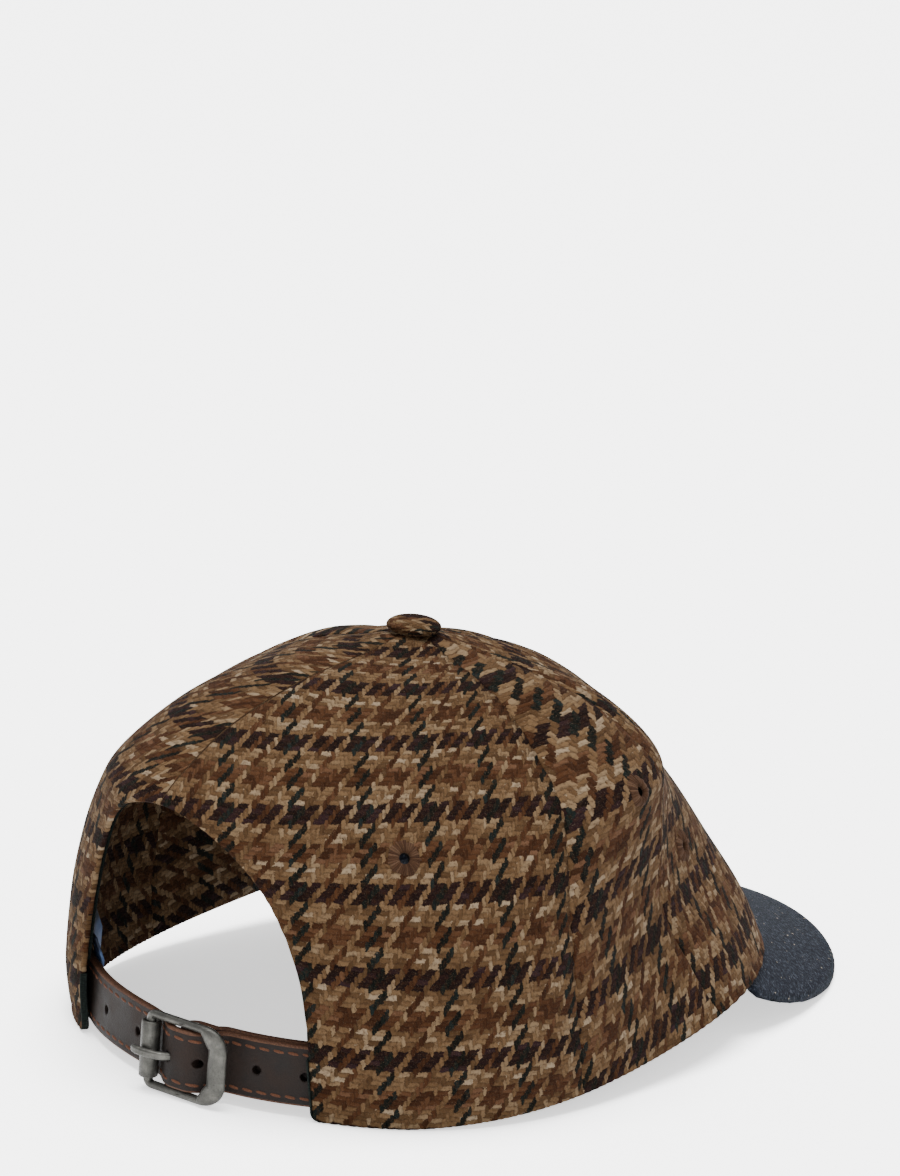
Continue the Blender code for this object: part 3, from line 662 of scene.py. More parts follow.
def leather_material():
    """Dark brown leather, worn lighter in places, with paler cut edges."""
    g = Graph("leather_grain")
    place = g.position()
    cloud = g.noise(place, 130, 4, 0.6)
    fine = g.noise(place, 2400, 3, 0.6)
    grain = g.fill(g.node("ShaderNodeTexVoronoi", feature="DISTANCE_TO_EDGE"), Vector=place, Scale=1500)
    colour = g.mix(g.spread(cloud, 0.30, 0.75), (0.0027, 0.0015, 0.0011, 1), (0.0072, 0.0037, 0.0024, 1))
    colour = g.mix(g.spread(fine, 0.55, 0.75, 0.0, 0.5), colour, (0.0117, 0.0064, 0.0042, 1))
    edge = g.node("ShaderNodeAttribute", attribute_name="cut_edge").outputs["Fac"]
    rough_edge = g.plus(edge, g.math("MULTIPLY_ADD", cloud, 0.5, -0.25))
    cut_colour = g.mix(g.spread(fine, 0.35, 0.65), (0.0242, 0.0097, 0.0051, 1), (0.0556, 0.0251, 0.0136, 1))
    colour = g.mix(g.spread(rough_edge, 0.35, 0.85), colour, cut_colour)
    height = g.plus(g.math("MINIMUM", grain, 0.2), g.times(fine, 0.3))
    rough = g.spread(cloud, 0.2, 0.8, 0.58, 0.74)
    return g.finish(colour, rough, g.bump(height, 0.00025, 0.5), Specular_IOR_Level=0.12)


def metal_material():
    """Aged nickel, dull and greyish with darker pits and brighter wear."""
    g = Graph("aged_nickel_finish")
    place = g.position()
    cloud = g.noise(place, 320, 4, 0.65)
    pits = g.noise(place, 2200, 4, 0.7)
    colour = g.ramp(cloud, [
        (0.3, (0.0294, 0.0290, 0.0260)), (0.55, (0.0496, 0.0487, 0.0437)), (0.8, (0.0840, 0.0811, 0.0714))])
    colour = g.mix(g.spread(pits, 0.55, 0.75, 0.0, 0.7), colour, (0.0143, 0.0134, 0.0118, 1))
    rough = g.spread(pits, 0.3, 0.8, 0.38, 0.62)
    return g.finish(colour, rough, g.bump(pits, 0.00015, 0.5), Metallic=0.85)


# Crown panels

def clustered(count, near=(0, 0.0025, 0.006, 0.011, 0.018)):
    """Places from 0 to 1, closer together at both ends."""
    near = np.array(near)
    middle = np.linspace(near[-1], 1 - near[-1], count)[1:-1]
    return np.concatenate([near, middle, 1 - near[::-1]])


def panel_chart(edges, rows, columns):
    """Chart places of a panel between its rim, top, first seam and last seam."""
    s, u = clustered(rows)[:, None], clustered(columns)[None, :]
    rim, top, first, last = (np.array([edge(x) for x in at]) for edge, at in zip(
        edges, (u[0], u[0], s[:, 0], s[:, 0])))
    s, u = s[..., None], u[..., None]
    corners = (1 - s) * ((1 - u) * rim[0] + u * rim[-1]) + s * ((1 - u) * top[0] + u * top[-1])
    return (1 - s) * rim + s * top + (1 - u) * first[:, None] + u * last[:, None] - corners


def seam_edge(seam, side):
    def edge(s):
        share = math.sin(math.asin(1 - TOP_HOLE_SHARE) * s)
        return to_chart(shifted(seam_turn(seam, share), share, side), share)
    return edge


def level_edge(first, last, share):
    return lambda u: to_chart(first + u * (last - first), share)


def side_edges(first, last):
    ends = []
    for share in (0.0, 1 - TOP_HOLE_SHARE):
        start = shifted(seam_turn(first, share), share, 1)
        stop = shifted(seam_turn(last, share), share, -1)
        ends.append(level_edge(start, stop, share))
    return ends[0], ends[1], seam_edge(first, 1), seam_edge(last, -1)


def back_edges():
    corner_turn, _ = opening_place(0.0)
    _, arch_top = opening_place(1.0)
    top = math.asin(1 - TOP_HOLE_SHARE)

    def rim(u):
        start = shifted(seam_turn(BACK_SEAM, 0.0), 0.0, 1)
        return to_chart(start + u * (corner_turn - start), 0.0)

    def seam_top(u):
        if u == 0:
            return seam_edge(BACK_SEAM, 1)(1.0)
        share = math.sin(top * (1 - u) + math.asin(arch_top) * u)
        return to_chart(shifted(math.pi, share, -1), share)

    def opening(u):
        turn, share = opening_place(u)
        return to_chart(np.minimum(turn, shifted(math.pi, share, -1)), share)

    return rim, seam_top, seam_edge(BACK_SEAM, 1), opening


def border_distance(points, spacing=0.0006):
    """Distance of each grid point from the grid's border."""
    border = np.concatenate([points[0], points[:, -1], points[-1][::-1], points[:, 0][::-1]])
    run = run_along(border)
    at = np.arange(0, run[-1], spacing)
    line = np.stack([np.interp(at, run, border[:, k]) for k in range(3)], axis=1)
    flat = points.reshape(-1, 3)
    nearest = np.empty(len(flat))
    for start in range(0, len(flat), 2000):
        chunk = flat[start:start + 2000]
        nearest[start:start + 2000] = np.sqrt(((chunk[:, None] - line[None]) ** 2).sum(-1).min(1))
    return nearest.reshape(points.shape[:2])


def edge_roll(distance, radius):
    """How far a rounded edge falls back near the border."""
    inset = np.clip(radius - distance, 0, radius)
    return radius - np.sqrt(radius**2 - inset**2)


def arc_coordinates(turn, share, centre):
    """Level distance from a panel's centre line, to the viewer's right, and height along it."""
    steps = np.linspace(0, 1, ARC_POINTS)[:, None, None]
    turns = centre + (turn - centre) * steps
    path = crown_point(turns, share[None])
    lengths = np.linalg.norm(np.diff(path, axis=0), axis=-1).sum(0)
    levels = np.linspace(0, 1 - TOP_HOLE_SHARE / 2, RISE_POINTS)
    run = run_along(crown_point(centre, levels))
    return -np.sign(turn - centre) * lengths, np.interp(share, levels, run)


CLOTH_LAY = {
    # panel: centre turn and grain turn in degrees, thread numbers at the centre line's foot,
    # stretch of warp and weft, then sag, taper and lean of the check
    "front_right": (35, 0.2, 5.05, 9.94, 0.952, 1.006, -0.01, 0.59, 0.064),
    "side_right": (88, 8.3, 7.96, 13.68, 0.953, 1.047, 2.17, -5.28, 0.067),
    "back_right": (140, -0.5, 0.42, 3.61, 0.982, 0.986, 0.72, 1.10, 0.179),
    "back_left": (140, 3.1, 4.70, 7.77, 1.010, 1.001, 0.09, 0.04, 0.012),
}


def cloth_coordinates(place, hand, turn, share):
    """Warp and weft thread numbers. The twill slants the same way on both hands."""
    own = CLOTH_LAY.get(f"{place}_{hand}")
    centre, grain, warp_start, weft_start, warp_stretch, weft_stretch, sag, taper, lean = (
        own or CLOTH_LAY[f"{place}_right"])
    u, v = arc_coordinates(turn, share, math.radians(centre))
    if own and hand == "left":
        u = -u
    angle = math.radians(grain)
    across = u * math.cos(angle) + v * math.sin(angle)
    up = v * math.cos(angle) - u * math.sin(angle)
    up = up + sag * across**2
    across = across + taper * across * up + lean * up
    warp = across / (WARP_PITCH * warp_stretch) + warp_start
    weft = up / (WEFT_PITCH * weft_stretch) + weft_start
    if hand == "left" and not own:
        warp = STRIPE_THREADS - warp
    return np.stack([warp, weft], axis=-1)


def soft_waves(points):
    """Gentle unevenness of the cloth, as a height outward."""
    waves = np.sin(points @ CLOTH_WAVE_SLOPES.T + CLOTH_WAVE_STARTS)
    first, second, ripple = np.moveaxis(waves, -1, 0)
    return CLOTH_WAVE * (first * second + CLOTH_RIPPLE * ripple)


def rounded_corner(points):
    """Round the corner between the rim and the opening, the first row's last point."""
    corner = points[0, -1]
    level = points - corner
    height = level[..., 2].copy()
    level[..., 2] = 0
    along = np.linalg.norm(level, axis=-1)
    a = np.clip(HEM_CORNER_RADIUS - along, 0, None)
    b = np.clip(HEM_CORNER_RADIUS - height, 0, None)
    share = np.where((a > 0) & (b > 0), np.maximum(a, b) / np.maximum(np.hypot(a, b), 1e-9), 1)
    way = unit(np.where(along[..., None] > 1e-7, level, points[0, -2] - corner))
    rounded = points + way * (a * (1 - share))[..., None]
    rounded[..., 2] += b * (1 - share)
    return rounded


def seam_ridge(turn, share):
    """Ridge where the front and side panels are pressed together, as a height outward."""
    across = (turn - seam_turn(FRONT_SEAM, share)) * axis_distance(crown_point(turn, share))
    middle, spread = SEAM_RIDGE_SHARES
    along = np.exp(-((share - middle) / spread) ** 2)
    return SEAM_RIDGE * along * np.exp(-(across / SEAM_RIDGE_WIDTH) ** 2)


def crown_panel(place, hand, edges, rows, columns, finish):
    """One panel, with rolled edges, a dip along its seams and the rise round the button."""
    turn, share = from_chart(panel_chart(edges, rows, columns))
    outer = crown_point(turn, share)
    if place == "back":
        outer = rounded_corner(outer)
    normal = crown_normal(turn, share)
    distance = border_distance(outer)
    roll = edge_roll(distance, EDGE_ROUND)
    dip = SEAM_DIP * np.exp(-(distance / SEAM_DIP_WIDTH) ** 2) * np.minimum(1, share / SEAM_DIP_FADE)
    seat = BUTTON_SEAT * np.exp(-(axis_distance(outer) / BUTTON_SEAT_WIDTH) ** 2)
    waves = soft_waves(outer) * np.clip(distance / CLOTH_WAVE_FADE, 0, 1)
    height = waves + seat + seam_ridge(turn, share)
    faces_at = (height - roll - dip, height - TWEED + roll)
    skins = [outer + depth[..., None] * normal for depth in faces_at]
    flip = np.array([-1 if hand == "left" else 1, 1, 1])
    points, faces = wall(*[(grid + SHIFT) * flip for grid in skins])
    uv = cloth_coordinates(place, hand, turn, share).reshape(-1, 2)
    node = f"{place}_panel_{hand}"
    piece = new_object(f"woven_{node}", points, faces, finish, np.concatenate([uv, uv]))
    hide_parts(node)
    return piece


def build_panels(finish):
    front = side_edges((0.0, 0.0), FRONT_SEAM)
    side = side_edges(FRONT_SEAM, BACK_SEAM)
    panels = {}
    for place, edges in (("front", front), ("side", side), ("back", back_edges())):
        for hand in ("right", "left"):
            panels[place, hand] = crown_panel(place, hand, edges, *PANEL_GRIDS[place], finish)
    return panels


# Eyelets and button

def build_eyelets(panels, finish):
    """Embroidered rings with a ridge for each stitch, over holes cut through the cloth."""
    for place, (degrees, share) in EYELETS.items():
        for hand, side in (("right", 1), ("left", -1)):
            turn = side * math.radians(degrees)
            normal = crown_normal(np.array(turn), np.array(share))
            spot = crown_point(turn, share)
            mirror = np.array([side, 1, 1])
            centre = spot + soft_waves(spot * mirror) * normal + SHIFT
            ends = centre + 3 * TWEED * normal, centre - 3 * TWEED * normal
            cut(panels[place, hand], *rod(*ends, EYELET_HOLE_RADIUS + GAP))
            node = f"eyelet_{place}_{hand}"
            points, faces, uv = eyelet_ring(turn, share, mirror)
            piece = new_object(f"sewn_{node}", points, faces, finish, uv)
            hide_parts(node)


def eyelet_ring(turn, share, mirror, ring_sides=14, per_stitch=6):
    """Low ring of radial stitches that follows the crown, with a number for each stitch."""
    step = 1e-3
    along = (crown_point(turn + step, share) - crown_point(turn - step, share)) / (2 * step)
    up = (crown_point(turn, share + step) - crown_point(turn, share - step)) / (2 * step)
    normal = crown_normal(np.array(turn), np.array(share))
    across = unit(along)
    other = np.cross(normal, across)
    to_surface = np.linalg.pinv(np.stack([along, up], axis=1))

    count = EYELET_STITCHES * per_stitch
    stitch = (np.arange(count) / per_stitch)[:, None]
    t = 2 * math.pi * stitch / EYELET_STITCHES
    a = (2 * math.pi * np.arange(ring_sides) / ring_sides)[None, :]
    tube = (EYELET_RADIUS - EYELET_HOLE_RADIUS) / 2
    wiggle = np.sin(EYELET_RAGGED_STEP * np.floor(stitch) ** 2)
    ragged = np.where(np.cos(a) > 0, 1 + EYELET_RAGGED * wiggle, 1)
    radius = EYELET_HOLE_RADIUS + (1 + np.cos(a)) * tube * ragged
    out = np.cos(t)[..., None] * across + np.sin(t)[..., None] * other
    moved = (radius[..., None] * out) @ to_surface.T
    turns, shares = turn + moved[..., 0], share + moved[..., 1]
    spot = crown_point(turns, shares)
    ridge = 1 + EYELET_RIDGE * np.abs(np.sin(math.pi * stitch))
    tilted = 1 - EYELET_TILT * (1 + np.cos(a))
    high = EYELET_HIGH * ridge * tilted * np.maximum(np.sin(a), -EYELET_FOOT)
    height = high + soft_waves(spot * mirror) + seam_ridge(np.abs(turns), shares)
    loops = spot + height[..., None] * crown_normal(turns, shares) + SHIFT
    points, faces = skin(loops, closed_path=True)
    uv = np.stack(np.broadcast_arrays(stitch, a / (2 * math.pi)), axis=-1).reshape(-1, 2)
    return points, faces, uv


def build_button(finish):
    """Domed button covered with the tweed, its edge gathered underneath."""
    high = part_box("button")[1]
    centre = np.array([0, CROWN_TOP_BACK, 0]) + SHIFT
    base = high[2] - BUTTON_HEIGHT - BUTTON_SINK
    rings, sides = 26, 72
    points, uv = [], []
    for a in np.linspace(-math.pi / 2, math.pi / 2, rings):
        r = BUTTON_RADIUS * math.cos(a) ** BUTTON_SIDE_POWER
        rise = math.copysign(abs(math.sin(a)) ** BUTTON_DOME_POWER, math.sin(a))
        h = BUTTON_HEIGHT * (BUTTON_WIDEST + (1 - BUTTON_WIDEST) * rise)
        below = math.cos(a) if a < 0 else 0
        travel = BUTTON_RADIUS * (math.pi / 2 - a) * BUTTON_CLOTH_STRETCH
        for t in 2 * math.pi * np.arange(sides) / sides:
            gather = 1 + BUTTON_GATHER * math.sin(BUTTON_GATHERS * t) * below
            points.append((centre[0] + r * gather * math.cos(t), centre[1] + r * math.sin(t), base + h))
            threads = travel * math.cos(t) / WARP_PITCH, travel * math.sin(t) / WEFT_PITCH
            uv.append(np.add(threads, BUTTON_CLOTH_START))
    piece = new_object("covered_button", points, grid_faces(rings, sides, wrap=True), finish, uv)
    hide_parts("button")


# Peak

def peak_faces(rows, columns):
    """Level places on the peak, their drop without droop and their share of the droop."""
    side = PEAK_SIDE_SHARE * (2 * clustered(columns)[None, :] - 1)
    out = clustered(rows)[:, None]
    side, out = np.broadcast_arrays(side, out)
    corner, front = crown_point(PEAK_CORNER_TURN, 0.0), crown_point(0.0, 0.0)
    turn = side * PEAK_CORNER_TURN
    root = crown_point(turn, 0.0) - TWEED * crown_normal(turn, np.zeros_like(turn))
    angle = side * math.pi / 2
    power = 2 / PEAK_OUTLINE_POWER
    edge_x = corner[0] * np.copysign(np.abs(np.sin(angle)) ** power, angle)
    edge_y = corner[1] + (front[1] - PEAK_LENGTH - corner[1]) * np.cos(angle) ** power
    root_y = corner[1] + (front[1] - corner[1]) * np.sqrt(1 - (edge_x / corner[0]) ** 2)
    forward = out * np.maximum(0, root_y - edge_y)
    x = root[..., 0] + (edge_x - root[..., 0]) * out
    y = root[..., 1] + (edge_y - root[..., 1]) * out
    across = (x / corner[0]) ** 2
    arch = rim_height(0.0) - rim_height(PEAK_CORNER_TURN)
    drop = arch * (across - (root[..., 0] / corner[0]) ** 2) + PEAK_SLOPE * forward
    share = across * (1 - np.exp(-forward / PEAK_ARCH_REACH))
    return x, y, rim_height(turn) - GAP - drop, share


def build_peak(finish):
    x, y, level, share = peak_faces(50, 150)
    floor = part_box("peak")[0][2]
    falls = share > 0
    droop = np.min((level[falls] - PEAK_THICK - floor) / share[falls])
    z = level - droop * share
    top = np.stack([x, y, z], axis=-1) + SHIFT
    roll = edge_roll(border_distance(top), PEAK_THICK / 2)
    down = np.array([0, 0, -1.0])
    skins = [top + depth[..., None] * down for depth in (roll, PEAK_THICK - roll)]
    piece = new_object("wool_peak", *wall(*skins), finish)
    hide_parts("peak")


def build_hem(finish):
    """Sewn edge of the peak that stands up inside the front panels."""
    turn = PEAK_CORNER_TURN * np.linspace(-1, 1, 160)[None, :]
    rim = rim_height(turn)
    heights = rim + np.linspace(-PEAK_THICK - GAP, PEAK_HEM, 12)[:, None]
    share = np.maximum(0, (heights - rim) / (CROWN_HEIGHT - rim))
    point = crown_point(turn, share)
    point[..., 2] = heights
    normal = crown_normal(turn, share)
    skins = [point - depth * normal + SHIFT for depth in (TWEED + GAP, TWEED + GAP + PEAK_HEM_THICK)]
    hem = new_object("peak_hem", *wall(*skins), finish)


# Strap and buckle

def base_line():
    """Points and lengths along the strap's base line, from the wearer's left to right."""
    corner = math.pi - float(opening_place(0.0)[0])
    off = corner * BASE_LINE_REACH * np.linspace(-1, 1, 2 * BASE_STEPS + 1)
    bulge = STRAP_BULGE * np.cos(np.minimum(1, np.abs(off) / corner) * math.pi / 2)
    turn = math.pi + off
    level = np.zeros_like(turn)
    points = crown_point(turn, level) - (TWEED + GAP - bulge)[:, None] * crown_normal(turn, level)
    run = run_along(points)
    return points, run - run[BASE_STEPS]


BASE_POINTS, BASE_LENGTHS = base_line()
CORNER_PLACE = float(np.interp(OPENING_HALF_WIDTH, BASE_POINTS[:, 0], BASE_LENGTHS))


def on_strap(place, out, z):
    """Points at places along the base line, distances outward from it and heights."""
    place, out, z = np.broadcast_arrays(*(np.asarray(a, float) for a in (place, out, z)))
    step = 1e-3
    (x0, y0), (x, y), (x1, y1) = (
        [np.interp(place + off, BASE_LENGTHS, BASE_POINTS[:, k]) for k in (0, 1)] for off in (-step, 0, step))
    length = np.hypot(x1 - x0, y1 - y0)
    return np.stack([x - (y1 - y0) / length * out, y + (x1 - x0) / length * out, z], axis=-1) + SHIFT


def tongue_out(place):
    """Centre of the tongue outward from the base line, as in the CAD part."""
    wall_out = -TONGUE_THICK / 2
    under_roller = BUCKLE_OUT - ROLLER_RADIUS - GAP - TONGUE_THICK / 2
    over_fold = CENTRE_BAR_OUT + CENTRE_BAR_RADIUS + 3 * GAP + ANCHOR_THICK + TONGUE_THICK / 2
    hump = CENTRE_BAR_RADIUS + GAP + ANCHOR_THICK
    route = np.array([
        (-CORNER_PLACE, wall_out),
        (END_BAR_PLACE - 2 * END_BAR_HALF_WIDTH, TONGUE_OUT - GAP),
        (END_BAR_PLACE, TONGUE_OUT),
        (CENTRE_BAR_PLACE - hump / 2, over_fold - GAP / 2),
        (CENTRE_BAR_PLACE + hump / 2, over_fold - GAP / 2),
        (ROLLER_PLACE - ROLLER_RADIUS / 2, under_roller),
        (ROLLER_PLACE + 3 * ROLLER_RADIUS, TONGUE_OUT + GAP),
        (CORNER_PLACE, wall_out),
    ])
    return smooth(route[:, 0], route[:, 1], place)


def anchor_path():
    turn_radius = CENTRE_BAR_RADIUS + GAP + ANCHOR_THICK / 2
    wall_out = -TONGUE_THICK - GAP - ANCHOR_THICK / 2
    bar_out = CENTRE_BAR_OUT - turn_radius
    room = TONGUE_THICK / 2 + GAP + ANCHOR_THICK / 2
    places = np.linspace(-(CORNER_PLACE + STRAP_BEHIND_PANEL), CENTRE_BAR_PLACE, 60)
    beneath = np.min([tongue_out(places + nearby) for nearby in (-room, 0, room)], axis=0) - room
    outs = np.where(places < -CORNER_PLACE, wall_out, beneath)
    path = list(zip(places, np.minimum(bar_out, outs)))
    for t in np.radians(np.arange(-75, 91, 15)):
        across, out = turn_radius * math.cos(t), turn_radius * math.sin(t)
        path.append((CENTRE_BAR_PLACE + across, CENTRE_BAR_OUT + out))
    path.append((CENTRE_BAR_PLACE - CENTRE_BAR_RADIUS, CENTRE_BAR_OUT + turn_radius))
    return np.array(path)


def band(path, thick, half_width):
    """Loops round a leather band with rounded corners, and how much each point is on a cut edge."""
    corner = BAND_CORNER * thick
    section = []
    for cx, cz, start in ((1, 1, 0), (-1, 1, 90), (-1, -1, 180), (1, -1, 270)):
        for t in np.radians(np.linspace(start, start + 90, BAND_CORNER_POINTS)):
            side = cx * (thick / 2 - corner) + corner * math.cos(t)
            section.append((side, cz * (half_width - corner) + corner * math.sin(t)))
    section = np.array(section)
    heights = np.linspace(half_width - corner, corner - half_width, BAND_FACE_POINTS + 2)[1:-1]
    outer = np.stack([np.full(BAND_FACE_POINTS, -thick / 2), heights], axis=1)
    inner = np.stack([np.full(BAND_FACE_POINTS, thick / 2), -heights], axis=1)
    first = 2 * BAND_CORNER_POINTS
    section = np.concatenate([section[:first], outer, section[first:], inner])
    ahead, behind = np.roll(path, -1, axis=0), np.roll(path, 1, axis=0)
    ahead[-1], behind[0] = path[-1], path[0]
    along = unit(ahead - behind)
    loops, edges = [], []
    for (place, out), (ax, ay) in zip(path, along):
        side, up = section.T
        loops.append(on_strap(place - ay * side, out + ax * side, STRAP_MIDDLE + up))
        edges.append(np.abs(section[:, 1]) > half_width - corner * 0.8)
    return loops, np.concatenate(edges).astype(float)


def mark_edges(piece, edges):
    layer = piece.data.attributes.new("cut_edge", "FLOAT", "POINT")
    layer.data.foreach_set("value", edges)


def stitch_row(path, outward, z, finish, name):
    """Row of short raised stitches on a face of a band, along (place, out) points."""
    run = run_along(path)
    along = unit(np.gradient(path, axis=0))
    points, faces = [], []
    turns = np.linspace(0, 2 * math.pi, 8, endpoint=False)
    start = STITCH_SPACING / 2
    while start + STITCH_LENGTH < run[-1]:
        loops = []
        for s in np.linspace(0, 1, 7):
            at = start + STITCH_LENGTH * s
            place, out, ax, ay = (np.interp(at, run, line) for line in (*path.T, *along.T))
            swell = math.sqrt(1 - (2 * s - 1) ** 2 * STITCH_ARCH)
            r = STITCH_RADIUS * (1 - STITCH_TAPER * (1 - swell))
            lift = outward + STITCH_RADIUS * (swell - STITCH_SINK) + r * np.cos(turns)
            tilt = STITCH_RADIUS * STITCH_TILT * (2 * s - 1)
            height = z + tilt + STITCH_SPREAD * r * np.sin(turns)
            loops.append(on_strap(place - ay * lift, out + ax * lift, height))
        more, more_faces = skin(loops)
        offset = sum(len(p) for p in points)
        points.append(more)
        faces += [tuple(i + offset for i in f) for f in more_faces]
        start += STITCH_SPACING
    return new_object(name, np.concatenate(points), faces, finish)


def build_straps(finish, thread):
    end = CORNER_PLACE + STRAP_BEHIND_PANEL
    places = np.linspace(-end, end, 200)
    path = np.stack([places, tongue_out(places)], axis=1)
    loops, edges = band(path, TONGUE_THICK, STRAP_WIDTH / 2)
    tongue = new_object("leather_tongue", *skin(loops), finish)
    mark_edges(tongue, edges)
    through = 2 * TONGUE_THICK
    for place in STRAP_HOLE_PLACES:
        out = float(tongue_out(place))
        ends = [on_strap(place, out + d, STRAP_MIDDLE) for d in (-through, through)]
        cut(tongue, *rod(*ends, STRAP_HOLE_RADIUS))
    ends = [on_strap(*spot, STRAP_MIDDLE) for spot in prong_path()[-4:-2]]
    cut(tongue, *rod(*ends, PRONG_RADIUS + GAP))
    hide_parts("strap_tongue")

    fold = anchor_path()
    loops, edges = band(fold, ANCHOR_THICK, STRAP_WIDTH / 2)
    anchor = new_object("leather_anchor", *skin(loops), finish)
    mark_edges(anchor, edges)
    slot = CENTRE_BAR_RADIUS + 2 * PRONG_RADIUS + 3 * GAP
    ends = [on_strap(CENTRE_BAR_PLACE + a * slot, CENTRE_BAR_OUT, STRAP_MIDDLE) for a in (-1, 1)]
    cut(anchor, *rod(*ends, PRONG_RADIUS + GAP))
    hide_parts("strap_anchor")

    for name, side in (("upper", 1), ("lower", -1)):
        z = STRAP_MIDDLE + side * (STRAP_WIDTH / 2 - STITCH_FROM_EDGE)
        row = stitch_row(path, TONGUE_THICK / 2, z, thread, f"stitches_{name}")


def prong_path():
    turn_radius = CENTRE_BAR_RADIUS + GAP + PRONG_RADIUS * PRONG_LOOP_SHARE
    over_roller = BUCKLE_OUT + ROLLER_RADIUS + GAP + PRONG_RADIUS
    path = []
    for t in np.radians(range(-10, -271, -26)):
        across, out = turn_radius * math.cos(t), turn_radius * math.sin(t)
        path.append((CENTRE_BAR_PLACE + across, CENTRE_BAR_OUT + out))
    tip = ROLLER_PLACE + PRONG_TIP_PAST_ROLLER
    return path + [
        (ROLLER_PLACE - 2 * ROLLER_RADIUS, over_roller - PRONG_RADIUS),
        (ROLLER_PLACE, over_roller),
        (tip, over_roller - PRONG_RADIUS / 2),
    ]


def frame_outline(per_corner=14):
    """Rounded rectangle of the buckle's bars as (place, height from its middle, half width)."""
    half_tall = FRAME_HALF_TALL
    large, small = FRAME_CORNER_RADIUS, FRAME_CORNER_RADIUS / 3
    corners = [
        (END_BAR_PLACE + large, half_tall - large, 90, END_BAR_HALF_WIDTH),
        (END_BAR_PLACE + large, large - half_tall, 180, END_BAR_HALF_WIDTH),
        (ROLLER_PLACE - small, small - half_tall, 270, ROLLER_BAR_RADIUS),
        (ROLLER_PLACE - small, half_tall - small, 0, ROLLER_BAR_RADIUS),
    ]
    outline = []
    for place, height, start, half_width in corners:
        radius = abs(half_tall - abs(height))
        for i in range(per_corner + 1):
            share = i / per_corner
            t = math.radians(start + 90 * share)
            level = share if start in (90, 270) else 1 - share
            fill = FRAME_CORNER_FILL * math.sin(math.pi * share) if half_width == END_BAR_HALF_WIDTH else 0
            width = SIDE_BAR_HALF_WIDTH + (half_width - SIDE_BAR_HALF_WIDTH) * level + fill
            r = radius - fill
            outline.append((place + r * math.cos(t), height + r * math.sin(t), width))
    return outline


def turned(profile, origin, sides=48):
    loops = []
    for t in np.linspace(0, 2 * math.pi, sides, endpoint=False):
        loops.append([origin + np.array([r * math.cos(t), r * math.sin(t), h]) for r, h in profile])
    return skin(loops, closed_path=True)


def build_buckle(finish):
    outline = frame_outline()
    turns = 2 * math.pi * (np.arange(20) + 0.5) / 20
    loops = []
    for i, (place, height, half_width) in enumerate(outline):
        (a, b, _), (c, d, _) = outline[i - 1], outline[(i + 1) % len(outline)]
        length = math.hypot(c - a, d - b)
        nx, ny = (d - b) / length, -(c - a) / length
        wide = half_width * np.cos(turns)
        deep = min(half_width, FRAME_HALF_DEPTH) * np.sin(turns)
        loops.append(on_strap(place + nx * wide, BUCKLE_OUT + deep, STRAP_MIDDLE + height + ny * wide))
    frame = new_object("metal_frame", *skin(loops, closed_path=True), finish)
    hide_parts("buckle_frame")

    half = FRAME_HALF_TALL
    clear = STRAP_WIDTH / 2 + GAP / 2
    bar_loops = [
        on_strap(CENTRE_BAR_PLACE + CENTRE_BAR_RADIUS * np.cos(turns),
                 out + CENTRE_BAR_RADIUS * np.sin(turns), STRAP_MIDDLE + height)
        for height, out in ((half, BUCKLE_OUT), (clear, CENTRE_BAR_OUT), (-clear, CENTRE_BAR_OUT),
                            (-half, BUCKLE_OUT))]
    bar = new_object("metal_centre_bar", *skin(bar_loops), finish)

    half_roller = STRAP_WIDTH / 2 - SIDE_BAR_HALF_WIDTH / 2
    bevel = ROLLER_WALL / 3
    tube = [
        (ROLLER_RADIUS - ROLLER_WALL, -half_roller), (ROLLER_RADIUS - bevel, -half_roller),
        (ROLLER_RADIUS, bevel - half_roller), (ROLLER_RADIUS, half_roller - bevel),
        (ROLLER_RADIUS - bevel, half_roller), (ROLLER_RADIUS - ROLLER_WALL, half_roller)]
    origin = on_strap(ROLLER_PLACE, BUCKLE_OUT, STRAP_MIDDLE)
    roller = new_object("metal_roller", *turned(tube, origin), finish)
    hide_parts("buckle_roller")
    build_prong(finish)


def build_prong(finish):
    """Round prong from its loop on the centre bar to its tip past the roller, with a groove on top."""
    path = np.array(prong_path())
    run = np.arange(len(path))
    fine = np.linspace(0, len(path) - 1, 120)
    places, outs = (smooth(run, path[:, k], fine) for k in (0, 1))
    radii = [PRONG_RADIUS * PRONG_LOOP_SHARE] * (len(path) - 3) + [PRONG_RADIUS] * 2
    radii = smooth(run, np.array(radii + [PRONG_RADIUS * PRONG_TIP_SHARE]), fine)
    radii[-len(PRONG_TIP_ROUNDING):] *= np.sqrt(1 - PRONG_TIP_ROUNDING**2)
    along = unit(np.gradient(np.stack([places, outs], axis=1), axis=0))
    loops = []
    for place, out, r, (ax, ay) in zip(places, outs, radii, along):
        ring = []
        for t in np.linspace(-math.pi, math.pi, 24, endpoint=False):
            grooved = r * (1 - PRONG_GROOVE * math.exp(-(t / PRONG_GROOVE_WIDTH) ** 2))
            side, up = grooved * math.cos(t), grooved * math.sin(t)
            ring.append(on_strap(place - ay * side, out + ax * side, STRAP_MIDDLE + up))
        loops.append(ring)
    prong = new_object("metal_prong", *skin(loops), finish)
    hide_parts("buckle_prong")


# Tape and label

